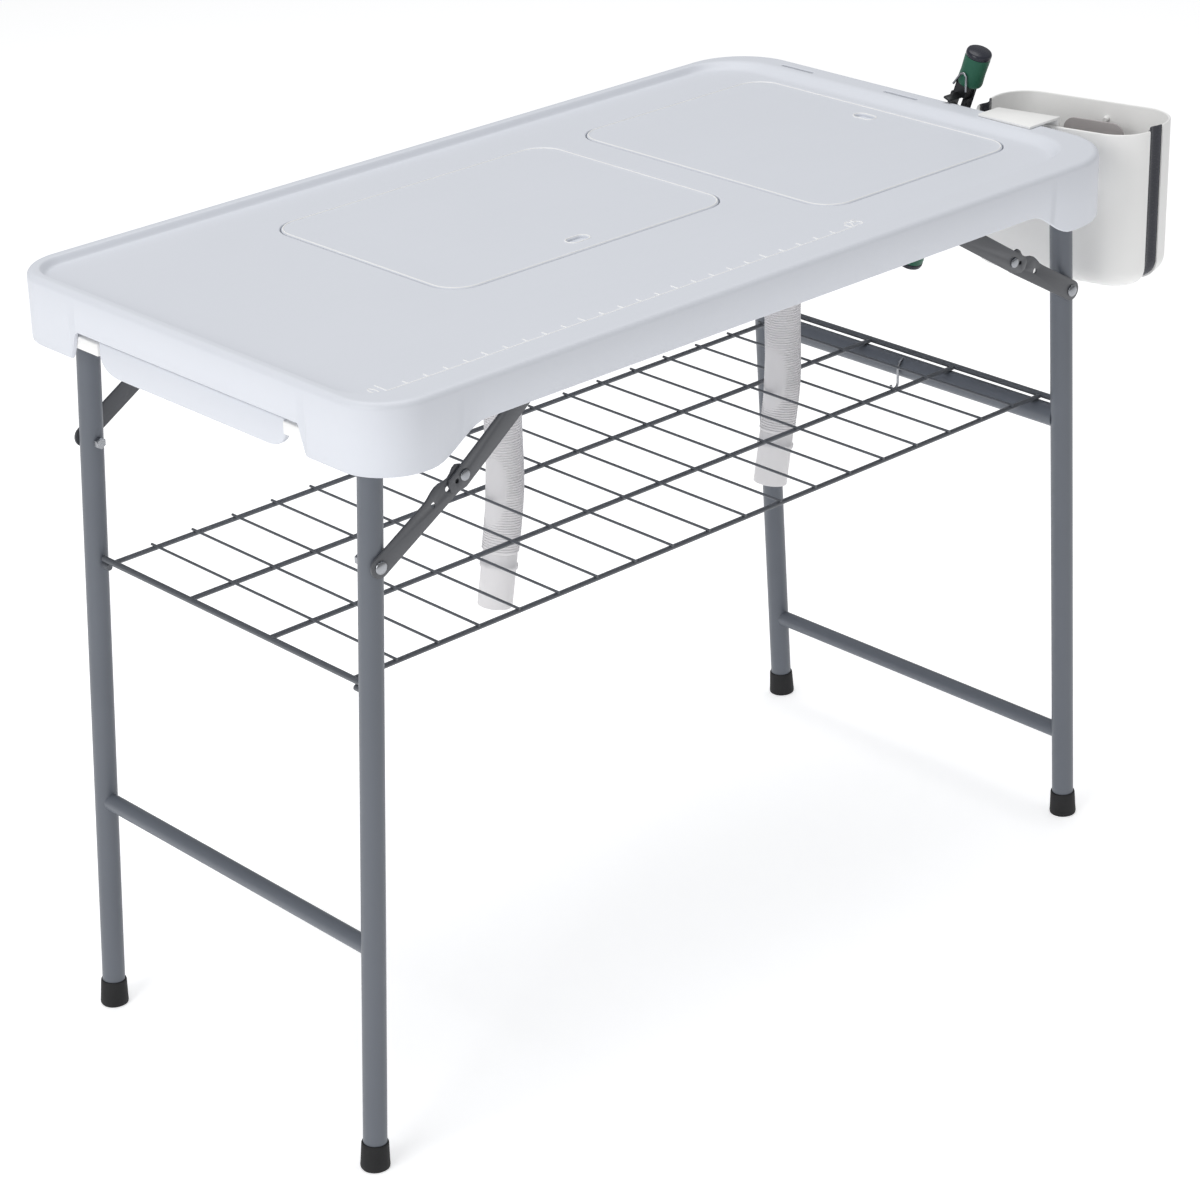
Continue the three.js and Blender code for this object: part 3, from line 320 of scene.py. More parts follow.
def roundRect(x0, x1, y0, y1, radius, steps=8):
    corners = [(x1 - radius, y0 + radius, -90), (x1 - radius, y1 - radius, 0),
               (x0 + radius, y1 - radius, 90), (x0 + radius, y0 + radius, 180)]
    return [point for x, y, start in corners for point in arc(x, y, radius, start, start + 90, steps)]


def level(points, height):
    return [(point[0], point[1], height) for point in points]


# Limits of the clean-up of a skin: lengths in millimetres, angles in degrees
clean = {"join": 0.001, "sliver": 0.0005, "flat": 0.5, "bevelFrom": 32}


def roundEdges(shell, width, segments=2):
    bmesh.ops.remove_doubles(shell, verts=shell.verts, dist=clean["join"])
    bmesh.ops.recalc_face_normals(shell, faces=shell.faces)
    bmesh.ops.dissolve_limit(shell, angle_limit=math.radians(clean["flat"]), verts=shell.verts,
                             edges=shell.edges)
    edges = [edge for edge in shell.edges
             if len(edge.link_faces) == 2 and edge.calc_face_angle(0) > math.radians(clean["bevelFrom"])]
    bmesh.ops.bevel(shell, geom=edges, offset=width, segments=segments, profile=0.5, affect="EDGES",
                    clamp_overlap=True)


# Flat shape in X and Z, given its thickness along Y, with holes as further outlines
def plate(shell, outline, near, far, holes=(), place=None):
    sides = []
    for loop in [outline, *holes]:
        rings = [[(x, y, z) for x, z in loop] for y in (near, far)]
        sides.append(loft(shell, rings, place=place))
    fill(shell, *[side[0] for side in sides])
    fill(shell, *[side[1] for side in sides])


def block(shell, x0, x1, y0, y1, z0, z1, place=None):
    corners = [(x0, y0), (x1, y0), (x1, y1), (x0, y1)]
    loft(shell, [level(corners, z0), level(corners, z1)], capStart=True, capEnd=True, place=place)


# Shades a skin smooth, apart from edges that are sharper than this many degrees
def shadeSmooth(shell, sharp):
    for face in shell.faces:
        face.smooth = True
    for edge in shell.edges:
        edge.smooth = len(edge.link_faces) == 2 and edge.calc_face_angle(0) < math.radians(sharp)


def toMesh(shell, name):
    mesh = bpy.data.meshes.new(name)
    shell.to_mesh(mesh)
    shell.free()
    return mesh


# Turns a drawn skin into a finished piece on its body
def finishPiece(shell, name, body, finish, stands=(), sharp=38, place=None):
    bmesh.ops.remove_doubles(shell, verts=shell.verts, dist=clean["join"])
    bmesh.ops.dissolve_degenerate(shell, dist=clean["sliver"], edges=shell.edges)
    bmesh.ops.recalc_face_normals(shell, faces=shell.faces)
    shadeSmooth(shell, sharp)
    for vert in shell.verts:
        vert.co = at(*(place @ vert.co if place else vert.co))
    return showPiece(toMesh(shell, name), name, body, finish, stands)


def showPiece(mesh, name, body, finish, stands=()):
    piece = addToScene(bpy.data.objects.new(name, mesh))
    if not mesh.materials:
        mesh.materials.append(finishes[finish])
    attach(piece, body)
    if stands:
        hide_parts(*stands)
    return piece


# Which way the left and right ends lie along X, and the front and back along Y
sideSign = {"left": -1, "right": 1}
ends = (("front", -1), ("back", 1))

# Where the two drains lie, seen from above
drainAt = {"left": (-104.168, 31), "right": (330.747, 31)}

# Drain hoses: each route repeats the part's own, in millimetres from the drain
hoses = {"start": 751.1, "gap": 0.3, "routeSteps": 12, "sides": 40,
         "radius": 21, "wall": 1.1, "ribDepth": 1.1, "pitch": 3, "plain": 9, "plainEnd": 3,
         "ribShares": (0.3, 0.5, 0.8, 0.98),
         "cuff": 62, "cuffRadius": 19.7, "cuffWall": 1.8, "ridge": 1.7, "ridgeLength": 6, "ridgeShare": 0.2,
         "left": ((0, 0), (0, -60), (0, -130), (0, -200), (-5, -240), (-11, -275)),
         "right": ((0, 0), (0, -60), (0, -130), (0, -200), (-5, -235), (-10, -262))}


def smoothRoute(points, steps):
    guides = [points[0] * 2 - points[1], *points, points[-1] * 2 - points[-2]]
    route = [points[0]]
    for a, b, c, d in zip(guides, guides[1:], guides[2:], guides[3:]):
        before, span, after = (math.sqrt((q - p).length) for p, q in ((a, b), (b, c), (c, d)))
        leave = ((b - a) / before - (c - a) / (before + span) + (c - b) / span) * span
        arrive = ((c - b) / span - (d - b) / (span + after) + (d - c) / after) * span
        for step in range(1, steps + 1):
            t = step / steps
            route.append(b * (2 * t**3 - 3 * t**2 + 1) + leave * (t**3 - 2 * t**2 + t)
                         + c * (3 * t**2 - 2 * t**3) + arrive * (t**3 - t**2))
    return route


def addHose(side):
    start = Vector((*drainAt[side], hoses["start"]))
    route = smoothRoute([start + Vector((x, 0, z)) for x, z in hoses[side]], hoses["routeSteps"])
    heading = (route[-1] - route[-2]).normalized()
    lengths = [0]
    for first, second in zip(route, route[1:]):
        lengths.append(lengths[-1] + (second - first).length)
    ribbed = lengths[-1]
    cuffs = [hoses["gap"] + hoses["cuff"] * share for share in (0.5, 1)]
    route += [route[-1] + heading * reach for reach in cuffs]
    lengths += [ribbed + reach for reach in cuffs]
    whole = lengths[-1]
    sideways = Vector((0, 1, 0))

    def ringAt(distance, radius):
        index = max(1, next((i for i, reach in enumerate(lengths) if reach >= distance), len(lengths) - 1))
        share = (distance - lengths[index - 1]) / (lengths[index] - lengths[index - 1])
        centre = route[index - 1].lerp(route[index], share)
        tangent = (route[index] - route[index - 1]).normalized()
        if 1 < index < len(route) - 3:
            tangent = (route[index + 1] - route[index - 2]).normalized()
        across = sideways.cross(tangent).normalized()
        turns = [2 * math.pi * step / hoses["sides"] for step in range(hoses["sides"])]
        return [centre + across * radius * math.cos(turn) + sideways * radius * math.sin(turn)
                for turn in turns]

    root = hoses["radius"] - hoses["ribDepth"]
    rows = [(0, root), (hoses["plain"], root)]
    ribs = ribbed - hoses["plain"] - hoses["plainEnd"]
    count = round(ribs / hoses["pitch"])
    pitch = ribs / count
    for rib in range(count):
        base = hoses["plain"] + pitch * rib
        rows += [(base + pitch * share, radius) for share, radius in
                 zip(hoses["ribShares"], (root, hoses["radius"], hoses["radius"], root))]
    # The cuff's outside with its ridge, its lower edge, and back up through the bore
    wide, cuffTop = hoses["cuffRadius"], ribbed + hoses["gap"]
    bore, ridge = wide - hoses["cuffWall"], wide + hoses["ridge"]
    ridgeAt = cuffTop + hoses["cuff"] * hoses["ridgeShare"]
    ridgeEnd = ridgeAt + hoses["ridgeLength"]
    rows += [(ribbed - 2, root), (ribbed - 1, wide - 0.8), (cuffTop + 1, wide), (ridgeAt - 1.5, wide),
             (ridgeAt, ridge), (ridgeEnd - 2, ridge), (ridgeEnd + 1, wide), (whole - 1, wide),
             (whole, wide - 0.7), (whole, bore + 0.5), (whole - 0.5, bore), (cuffTop, bore - 0.5),
             (ribbed / 2, root - hoses["wall"]), (0, root - hoses["wall"])]
    shell = bmesh.new()
    loft(shell, [ringAt(distance, radius) for distance, radius in rows], closed=True)
    hose = finishPiece(shell, side + "Hose", "root", "hosePlastic",
                       (side + "_drain_hose", side + "_hose_cuff"), sharp=60)
    path = [at(*point) for point in route[::4]] + [at(*route[-1])]
    whole / 1000


for side in sideSign:
    addHose(side)
print("hoses made")

# Table top: rolled rim, sunk surface, wavy skirt with a deeper lobe at each corner. The strips are flat rings
# beside a round or a slope
top = {"left": -545, "right": 534, "halfY": 300, "height": 855, "leftCorner": 58, "rightCorner": 80,
       "roll": 7, "drop": 8, "rim": 12.5, "slope": 8, "frontRim": 36, "frontSlope": 6, "endRim": 28,
       "endSlope": 22, "plate": 842, "wall": 4.5, "skirt": 812, "lobe": 781, "leftLobe": -446,
       "rightLobe": 406, "lobeY": 185, "longWave": 70, "endWave": 14, "cornerSteps": 14, "slopeSteps": 9,
       "edge": 1.1, "rollStrip": 0.6, "rimStrip": 0.7, "endStrip": 1, "surfaceStrip": 1.5, "innerStrip": 2}
surface = top["height"] - top["drop"]
topStations = {"x": (-480, -474, -467, -460, -453, -446, -439, -432, -425, -418, -411, -404, -300, -200,
                     -100, 0, 100, 200, 300, 364, 371, 378, 385, 392, 399, 406, 413, 420, 427, 434, 441),
               "y": (0, 50, 100, 150, 170, 177, 179, 181, 183, 185, 187, 189, 191, 193, 200)}
knifeSlots = {"x": 513, "y": (181.5, 17.5, -146.5), "width": 5, "length": 51, "corner": 1.2, "round": 1}
lids = {"left": {"x": -71, "y": 60, "halfX": 198, "halfY": 150, "hole": (0, -120), "holeX": 13, "holeY": 6.5},
        "right": {"x": 324, "y": 10, "halfX": 150, "halfY": 198, "hole": (120, 0), "holeX": 6.5, "holeY": 13}}
lidShape = {"corner": 34, "gap": 1.5, "round": 1.4, "bottom": 842.3, "recess": 3, "recessRound": 1.6,
            "steps": 12}


# One ring round the top, with its own insets at the right end and at the front
def topRing(inset, height, right=None, front=None):
    right = inset if right is None else right
    front = inset if front is None else front
    leftRadius, rightRadius = top["leftCorner"] - inset, top["rightCorner"] - inset
    frontY, backY = front - top["halfY"], top["halfY"] - inset
    leftX, rightX = top["left"] + inset + leftRadius, top["right"] - right - rightRadius
    corners = [(rightX, frontY + rightRadius, rightRadius, -90),
               (rightX, backY - rightRadius, rightRadius, 0),
               (leftX, backY - leftRadius, leftRadius, 90),
               (leftX, frontY + leftRadius, leftRadius, 180)]
    longStart, longEnd = top["left"] + top["leftCorner"], top["right"] - top["rightCorner"]
    longShares = [(x - longStart) / (longEnd - longStart) for x in topStations["x"]]
    acrossY = sorted({*topStations["y"], *(-y for y in topStations["y"])})
    sides = []
    for corner in (top["rightCorner"], top["leftCorner"]):
        half = top["halfY"] - corner
        sides.append([(y + half) / (half * 2) for y in acrossY])
    runs = [sides[0], [1 - share for share in reversed(longShares)], sides[1], longShares]
    points = []
    for index, (x, y, radius, start) in enumerate(corners):
        bend = arc(x, y, radius, start, start + 90, top["cornerSteps"])
        x, y, radius, start = corners[(index + 1) % 4]
        goal = arc(x, y, radius, start, start, 1)[0]
        points += bend + [Vector(bend[-1]).lerp(Vector(goal), share) for share in runs[index]]
    return level(points, height)


def skirtHeight(x, y):
    wave = (top["leftLobe"] - x if x < 0 else x - top["rightLobe"]) / top["longWave"]
    across = (abs(y) - top["lobeY"]) / top["endWave"]
    share = min(1, max(0, min(wave, across) + 0.5))
    return top["skirt"] - (top["skirt"] - top["lobe"]) * (1 - math.cos(math.pi * share)) / 2


def skirtRing(inset, lift):
    return [(x, y, skirtHeight(*outer[:2]) + lift)
            for (x, y, z), outer in zip(topRing(inset, 0), topRing(0, 0))]


def lidOutline(lid, grow, cornerShare=1, steps=lidShape["steps"]):
    return roundRect(lid["x"] - lid["halfX"] - grow, lid["x"] + lid["halfX"] + grow,
                     lid["y"] - lid["halfY"] - grow, lid["y"] + lid["halfY"] + grow,
                     lidShape["corner"] + grow * cornerShare, steps)


# Round ended, with its corners a hair smaller than half its width so that no point falls on another
def fingerOutline(lid, grow):
    x, y = lid["x"] + lid["hole"][0], lid["y"] + lid["hole"][1]
    halfX, halfY = lid["holeX"] + grow, lid["holeY"] + grow
    return roundRect(x - halfX, x + halfX, y - halfY, y + halfY, min(halfX, halfY) - 0.01, 8)


def slotOutline(y, grow):
    halfX = knifeSlots["width"] / 2 + grow
    halfY = knifeSlots["length"] / 2 + grow
    return roundRect(knifeSlots["x"] - halfX, knifeSlots["x"] + halfX, y - halfY, y + halfY,
                     knifeSlots["corner"] + grow, 3)


# Rounded mouth of an opening, from a flat surface down to its lower edge
def mouth(shell, outlineAt, high, low, rounding, strip=0.8):
    rows = [(rounding + strip, high)]
    rows += [(rounding * far, high - rounding * near) for near, far in quarter(4)]
    rows.append((0, low))
    return loft(shell, [level(outlineAt(grow), height) for grow, height in rows])


def addTop():
    shell = bmesh.new()
    wall, roll, edge, height, plateZ = (top[key] for key in ("wall", "roll", "edge", "height", "plate"))
    rings = [topRing(wall, plateZ), topRing(wall, plateZ - top["innerStrip"]), skirtRing(wall, edge),
             skirtRing(wall - edge, 0), skirtRing(edge, 0), skirtRing(0, edge), topRing(0, height - roll)]
    rings += [topRing(roll * near, height - roll * far) for near, far in quarter(8)[1:]]
    rings.append(topRing(roll + top["rollStrip"], height))
    outer = loft(shell, rings)
    rim, endRim, frontRim = top["rim"], top["endRim"], top["frontRim"]
    rings = [topRing(rim - top["rimStrip"], height, endRim - top["endStrip"], frontRim - top["rimStrip"])]
    for step in range(top["slopeSteps"] + 1):
        share = step / top["slopeSteps"]
        fall = top["drop"] * (1 - math.cos(math.pi * share)) / 2
        rings.append(topRing(rim + top["slope"] * share, height - fall, endRim + top["endSlope"] * share,
                             frontRim + top["frontSlope"] * share))
    strip = top["surfaceStrip"]
    rings.append(topRing(rim + top["slope"] + strip, surface, endRim + top["endSlope"] + strip,
                         frontRim + top["frontSlope"] + strip))
    inner = loft(shell, rings)
    slotRings = [mouth(shell, lambda grow, y=y: slotOutline(y, grow), height, plateZ, knifeSlots["round"],
                       0.4) for y in knifeSlots["y"]]
    lidRings = [mouth(shell, lambda grow, lid=lid: lidOutline(lid, lidShape["gap"] + grow), surface, plateZ,
                      lidShape["round"]) for lid in lids.values()]
    fill(shell, outer[-1], inner[0], *[rings[0] for rings in slotRings])
    fill(shell, inner[-1], *[rings[0] for rings in lidRings])
    fill(shell, outer[0], *[rings[-1] for rings in slotRings + lidRings])
    finishPiece(shell, "tableTop", "root", "whitePlastic", ("tabletop",), sharp=50)


def addLid(side):
    shell = bmesh.new()
    lid, rounding, bottom = lids[side], lidShape["round"], lidShape["bottom"]
    rows = [(-0.5, bottom), (0, bottom + 0.5)]
    rows += [(-rounding * near, surface - rounding * far) for near, far in quarter(4)]
    rows.append((-rounding - 0.8, surface))
    outer = loft(shell, [level(lidOutline(lid, grow), height) for grow, height in rows])
    recess = mouth(shell, lambda grow: fingerOutline(lid, grow), surface, surface - lidShape["recess"],
                   lidShape["recessRound"])
    fill(shell, outer[-1], recess[0])
    fill(shell, recess[-1])
    fill(shell, outer[0])
    finishPiece(shell, side + "Lid", side + "_lid_body", "whitePlastic", (side + "_lid",), sharp=50)


addTop()
for side in sideSign:
    addLid(side)
print("table top and lids made")

# Sinks under the lids, and their drains
basin = {"flange": 10, "ledge": 9, "wall": 3, "top": 841.7, "flangeUnder": 838.7, "floor": 762.7,
         "bottom": 759.7, "round": 13, "draft": 2, "edge": 0.5, "fillet": 1.5, "lip": 1, "cornerShare": 0.9,
         "cornerSteps": 10}
drains = {"hole": 19.3, "holeSides": 40, "flange": 24, "throat": 15, "neck": 19, "sides": 48,
          "floor": 763.0, "collar": 23, "collarTop": 759.4, "collarBottom": 751.4, "end": 737.4,
          "spigot": 18.4, "edge": 0.8, "bars": 3, "barWidth": 2.4, "barTop": 1.5, "barBottom": 4,
          "barPast": 0.5}


def addSink(side):
    shell = bmesh.new()
    bend, draft, flange, edge, fillet = (basin[key] for key in ("round", "draft", "flange", "edge", "fillet"))
    high, under, lip = basin["top"], basin["flangeUnder"], basin["lip"]
    inside, outside = basin["ledge"], basin["ledge"] - basin["wall"]
    rows = [(outside + draft + bend * far, basin["bottom"] + bend * near) for near, far in quarter(6)]
    rows += [(outside, under - fillet), (outside - fillet, under), (edge - flange, under),
             (-flange, under + edge), (-flange, high - edge), (edge - flange, high), (inside - lip, high),
             (inside, high - lip)]
    bend -= basin["wall"]
    rows += [(inside + draft + bend * far, basin["floor"] + bend * near) for near, far in quarter(6)[::-1]]
    rings = loft(shell, [level(lidOutline(lids[side], -inset, basin["cornerShare"], basin["cornerSteps"]),
                               height) for inset, height in rows])
    opening = circle(*drainAt[side], drains["hole"], drains["holeSides"])
    hole = loft(shell, [level(opening, basin["bottom"]), level(opening, basin["floor"])])
    fill(shell, rings[0], hole[0])
    fill(shell, rings[-1], hole[1])
    finishPiece(shell, side + "Sink", "root", "whitePlastic", (side + "_sink_basin",), sharp=50)


# Drain: a domed flange on the sink's floor, a collar under it, a spigot for the hose and crossed bars
def addDrain(side):
    shell = bmesh.new()
    flange, throat, spigot, collar, neck = (drains[key] for key in
                                            ("flange", "throat", "spigot", "collar", "neck"))
    floor, end, low, high, edge = (drains[key] for key in
                                   ("floor", "end", "collarBottom", "collarTop", "edge"))
    lathe(shell, [(flange, floor), (flange, floor + edge), (flange - 1.5, floor + 2),
                  (throat + 4, floor + 2.5), (throat + 1, floor + 1.4), (throat, floor - 1), (throat, end),
                  (spigot - 0.5, end), (spigot, end + 1), (spigot, low), (collar - edge, low),
                  (collar, low + edge), (collar, high - edge), (collar - edge, high), (neck, high),
                  (neck, floor)], drains["sides"])
    for bar in range(drains["bars"]):
        turn = Matrix.Rotation(math.pi * bar / drains["bars"], 4, "Z")
        half, reach = drains["barWidth"] / 2, throat + drains["barPast"]
        block(shell, -reach, reach, -half, half, floor - drains["barBottom"], floor - drains["barTop"], turn)
    finishPiece(shell, side + "Drain", "root", "greyPlastic", (side + "_drain_fitting",),
                place=Matrix.Translation((*drainAt[side], 0)))


for side in sideSign:
    addSink(side)
    addDrain(side)
print("sinks made")

# Carry handle and its clips under the left end
handle = {"x": -534.2, "half": 150, "top": 808, "bottom": 774, "thick": 8, "corner": 28, "rise": 19,
          "soft": 2, "clipNear": 150.3, "clipFar": 204.3, "clipHeight": 14, "clipThick": 12, "clipSoft": 1.6,
          "axis": 799, "pin": 3, "pinHalf": 9, "pinSides": 24}


def addHandle():
    x, half, axis = handle["x"], handle["half"], handle["axis"]
    outline = [(-half, handle["top"])]
    outline += [(-half + handle["corner"] * near, handle["bottom"] + handle["rise"] * far)
                for near, far in quarter(8)]
    outline += [(-px, pz) for px, pz in reversed(outline)]
    shell = bmesh.new()
    thick = handle["thick"] / 2
    turn = Matrix.Translation((x, 0, 0)) @ Matrix.Rotation(math.pi / 2, 4, "Z")
    plate(shell, outline, -thick, thick, place=turn)
    roundEdges(shell, handle["soft"], 3)
    finishPiece(shell, "carryHandle", "handle", "whitePlastic", ("carry_handle",))
    clip, rise, pinHalf = handle["clipThick"] / 2, handle["clipHeight"] / 2, handle["pinHalf"]
    for name, sign in reversed(ends):
        shell = bmesh.new()
        near, far = sorted((sign * handle["clipNear"], sign * handle["clipFar"]))
        block(shell, x - clip, x + clip, near, far, axis - rise, axis + rise)
        roundEdges(shell, handle["clipSoft"], 3)
        pin = Matrix.Translation((x, sign * handle["clipNear"], axis)) @ Matrix.Rotation(math.pi / 2, 4, "X")
        rod(shell, handle["pin"], -pinHalf, pinHalf, handle["pinSides"], pin)
        finishPiece(shell, name + "HandleClip", "root", "warmPlastic", (name + "_handle_clip",))


addHandle()
print("handle made")

# Leg frames of round tube, with rubber caps
frames = {"pivotX": 497, "pivotZ": 806, "splay": math.radians(3.2), "radius": 12.7, "wall": 1.2,
          "legY": {"left": 228, "right": 236}, "tubeEnd": 263.55, "legGap": 6, "spreader": 9.5,
          "spreaderZ": {"left": 252, "right": 110}, "crossZ": 523, "sides": 48}
caps = {"height": 30, "top": 14.4, "foot": 15.8, "bore": 13, "floor": 5.7, "under": 2}
legLength = frames["pivotZ"] / math.cos(frames["splay"])


def legX(height):
    return frames["pivotX"] + (frames["pivotZ"] - height) * math.tan(frames["splay"])


def legPlace(side, y):
    sign = sideSign[side]
    turn = Matrix.Rotation(-sign * frames["splay"], 4, "Y")
    return Matrix.Translation((sign * frames["pivotX"], y, frames["pivotZ"])) @ turn


def addFrame(side):
    sign, body, spread = sideSign[side], side + "_frame", frames["legY"][side]
    radius, wall, sides = frames["radius"], frames["wall"], frames["sides"]
    x, z, reach = sign * frames["pivotX"], frames["pivotZ"], frames["tubeEnd"]
    shell = bmesh.new()
    tube(shell, (x, -reach, z), (x, reach, z), radius, wall, sides)
    finishPiece(shell, side + "PivotTube", body, "greyPaint", (side + "_pivot_tube",))
    for legName, legSign in ends:
        shell = bmesh.new()
        place = legPlace(side, legSign * spread)
        start = place @ Vector((0, 0, -radius * 0.6))
        end = place @ Vector((0, 0, frames["legGap"] - legLength))
        tube(shell, start, end, radius, wall, sides)
        finishPiece(shell, side + legName.title() + "Leg", body, "greyPaint", (f"{side}_{legName}_leg",))
        shell = bmesh.new()
        foot, neck, rim, under = caps["foot"], caps["top"], caps["height"], -caps["under"]
        lathe(shell, [(0, under), (foot - 1.5, under), (foot - 0.3, 0.8), (foot, 3), (foot - 0.4, 8),
                      (neck + 0.2, rim - 4), (neck + 0.1, rim - 2), (neck - 0.4, rim - 0.4),
                      (caps["bore"], rim), (caps["bore"], caps["floor"]), (0, caps["floor"])], sides,
              place @ Matrix.Translation((0, 0, -legLength)), closed=False)
        for vert in shell.verts:    # the leaning cap ends flat on the floor
            vert.co.z = max(0, vert.co.z)
        finishPiece(shell, side + legName.title() + "FootCap", body, "blackRubber",
                    (f"{side}_{legName}_foot_cap",))
    bars = [("Spreader", frames["spreaderZ"][side], frames["spreader"], side + "_spreader")]
    if side == "right":
        bars.append(("CrossTube", frames["crossZ"], radius, "shelf_cross_tube"))
    for name, height, barRadius, stands in bars:
        shell = bmesh.new()
        reach = spread - radius * 0.55
        x = sign * legX(height)
        tube(shell, (x, -reach, height), (x, reach, height), barRadius, wall, sides)
        finishPiece(shell, side + name, body, "greyPaint", (stands,))


for side in sideSign:
    addFrame(side)
print("leg frames made")


# Geometry Nodes tree from its inputs, its nodes with their settings and sockets, and its links
def buildTree(name, inputs, output, nodes, links):
    tree = bpy.data.node_groups.new(name, "GeometryNodeTree")
    for label, kind, value in inputs:
        socket = tree.interface.new_socket(label, in_out="INPUT", socket_type="NodeSocket" + kind)
        if value is not None:
            socket.default_value = value
    tree.interface.new_socket(output, in_out="OUTPUT", socket_type="NodeSocketGeometry")
    made = {"given": tree.nodes.new("NodeGroupInput"), "result": tree.nodes.new("NodeGroupOutput")}
    for label, kind, settings, sockets in nodes:
        made[label] = tree.nodes.new(kind)
        for key, value in settings.items():
            setattr(made[label], key, value)
        for key, value in sockets.items():
            made[label].inputs[key].default_value = value
    for start, end in links:
        (first, leave), (second, arrive) = start.split("."), end.split(".")
        tree.links.new(made[first].outputs[leave], made[second].inputs[arrive])
    return tree


# Sweeps a round wire along every line of a drawn mesh
wireTree = buildTree(
    "sweptWire",
    [("Lines", "Geometry", None), ("Radius", "Float", 0.003), ("Corner", "Float", 0.004),
     ("Sides", "Int", 14), ("Coat", "Material", None)],
    "Wires",
    [("curve", "GeometryNodeMeshToCurve", {}, {}), ("bend", "GeometryNodeFilletCurve", {}, {}),
     ("circle", "GeometryNodeCurvePrimitiveCircle", {}, {}),
     ("sweep", "GeometryNodeCurveToMesh", {}, {"Fill Caps": True}),
     ("smooth", "GeometryNodeSetShadeSmooth", {}, {}), ("realize", "GeometryNodeRealizeInstances", {}, {}),
     ("coat", "GeometryNodeSetMaterial", {}, {})],
    [("given.Lines", "curve.Mesh"), ("curve.Curve", "bend.Curve"), ("given.Corner", "bend.Radius"),
     ("given.Radius", "circle.Radius"), ("given.Sides", "circle.Resolution"), ("bend.Curve", "sweep.Curve"),
     ("circle.Curve", "sweep.Profile Curve"), ("sweep.Mesh", "smooth.Geometry"),
     ("smooth.Geometry", "realize.Geometry"), ("realize.Geometry", "coat.Geometry"),
     ("given.Coat", "coat.Material"), ("coat.Geometry", "result.Wires")])

# Sets a copy of a shape on every point, turned to the point's own facing
copyTree = buildTree(
    "setCopies",
    [("Points", "Geometry", None), ("Shape", "Object", None), ("Size", "Float", 1),
     ("Coat", "Material", None)],
    "Copies",
    [("shape", "GeometryNodeObjectInfo", {}, {}),
     ("facing", "GeometryNodeInputNamedAttribute", {"data_type": "FLOAT_VECTOR"}, {"Name": "facing"}),
     ("turn", "FunctionNodeAlignRotationToVector", {"axis": "Z"}, {}),
     ("copies", "GeometryNodeInstanceOnPoints", {}, {}), ("realize", "GeometryNodeRealizeInstances", {}, {}),
     ("coat", "GeometryNodeSetMaterial", {}, {})],
    [("given.Points", "copies.Points"), ("given.Shape", "shape.Object"),
     ("shape.Geometry", "copies.Instance"), ("facing.Attribute", "turn.Vector"),
     ("turn.Rotation", "copies.Rotation"), ("given.Size", "copies.Scale"),
     ("copies.Instances", "realize.Geometry"), ("realize.Geometry", "coat.Geometry"),
     ("given.Coat", "coat.Material"), ("coat.Geometry", "result.Copies")])
treeClean = {"join": 0.000001, "sharp": 40}    # metres and degrees


def runTree(tree, base, settings, name, body, finish, stands):
    carrier = addToScene(bpy.data.objects.new(name + "Base", base))
    modifier = carrier.modifiers.new("nodes", "NODES")
    modifier.node_group = tree
    for item in tree.interface.items_tree:
        if item.in_out == "INPUT" and item.name in settings:
            modifier[item.identifier] = settings[item.name]
    evaluated = carrier.evaluated_get(bpy.context.evaluated_depsgraph_get())
    mesh = bpy.data.meshes.new_from_object(evaluated)
    carrier.modifiers.remove(modifier)
    bpy.data.objects.remove(carrier)
    mesh.name = name
    skin = bmesh.new()
    skin.from_mesh(mesh)
    bmesh.ops.remove_doubles(skin, verts=skin.verts, dist=treeClean["join"])
    bmesh.ops.recalc_face_normals(skin, faces=skin.faces)
    shadeSmooth(skin, treeClean["sharp"])
    skin.to_mesh(mesh)
    skin.free()
    return showPiece(mesh, name, body, finish, stands)


def wires(drawn, radius, name, body, finish, stands=(), corner=0.004, sides=14):
    points, edges = [], []
    for line in drawn:
        edges += [(len(points) + index, len(points) + index + 1) for index in range(len(line) - 1)]
        points += [at(*point) for point in line]
    base = bpy.data.meshes.new(name + "Lines")
    base.from_pydata(points, edges, [])
    settings = {"Radius": radius / 1000, "Corner": corner, "Sides": sides, "Coat": finishes[finish]}
    return runTree(wireTree, base, settings, name, body, finish, stands)


# Each place is a point and the way that the copy's outer side faces
def copies(shape, places, name, body, finish, stands=()):
    base = bpy.data.meshes.new(name + "Points")
    base.from_pydata([at(*point) for point, facing in places], [], [])
    values = base.attributes.new("facing", "FLOAT_VECTOR", "POINT")
    for value, (point, facing) in zip(values.data, places):
        value.vector = facing
    settings = {"Shape": shape, "Size": 1.0, "Coat": finishes[finish]}
    return runTree(copyTree, base, settings, name, body, finish, stands)


# A shape to be copied, drawn about the origin with its outer side towards Z
def pattern(name, draw):
    shell = bmesh.new()
    draw(shell)
    bmesh.ops.remove_doubles(shell, verts=shell.verts, dist=clean["join"])
    bmesh.ops.recalc_face_normals(shell, faces=shell.faces)
    for vert in shell.verts:
        vert.co = vert.co / 1000
    return bpy.data.objects.new(name, toMesh(shell, name))


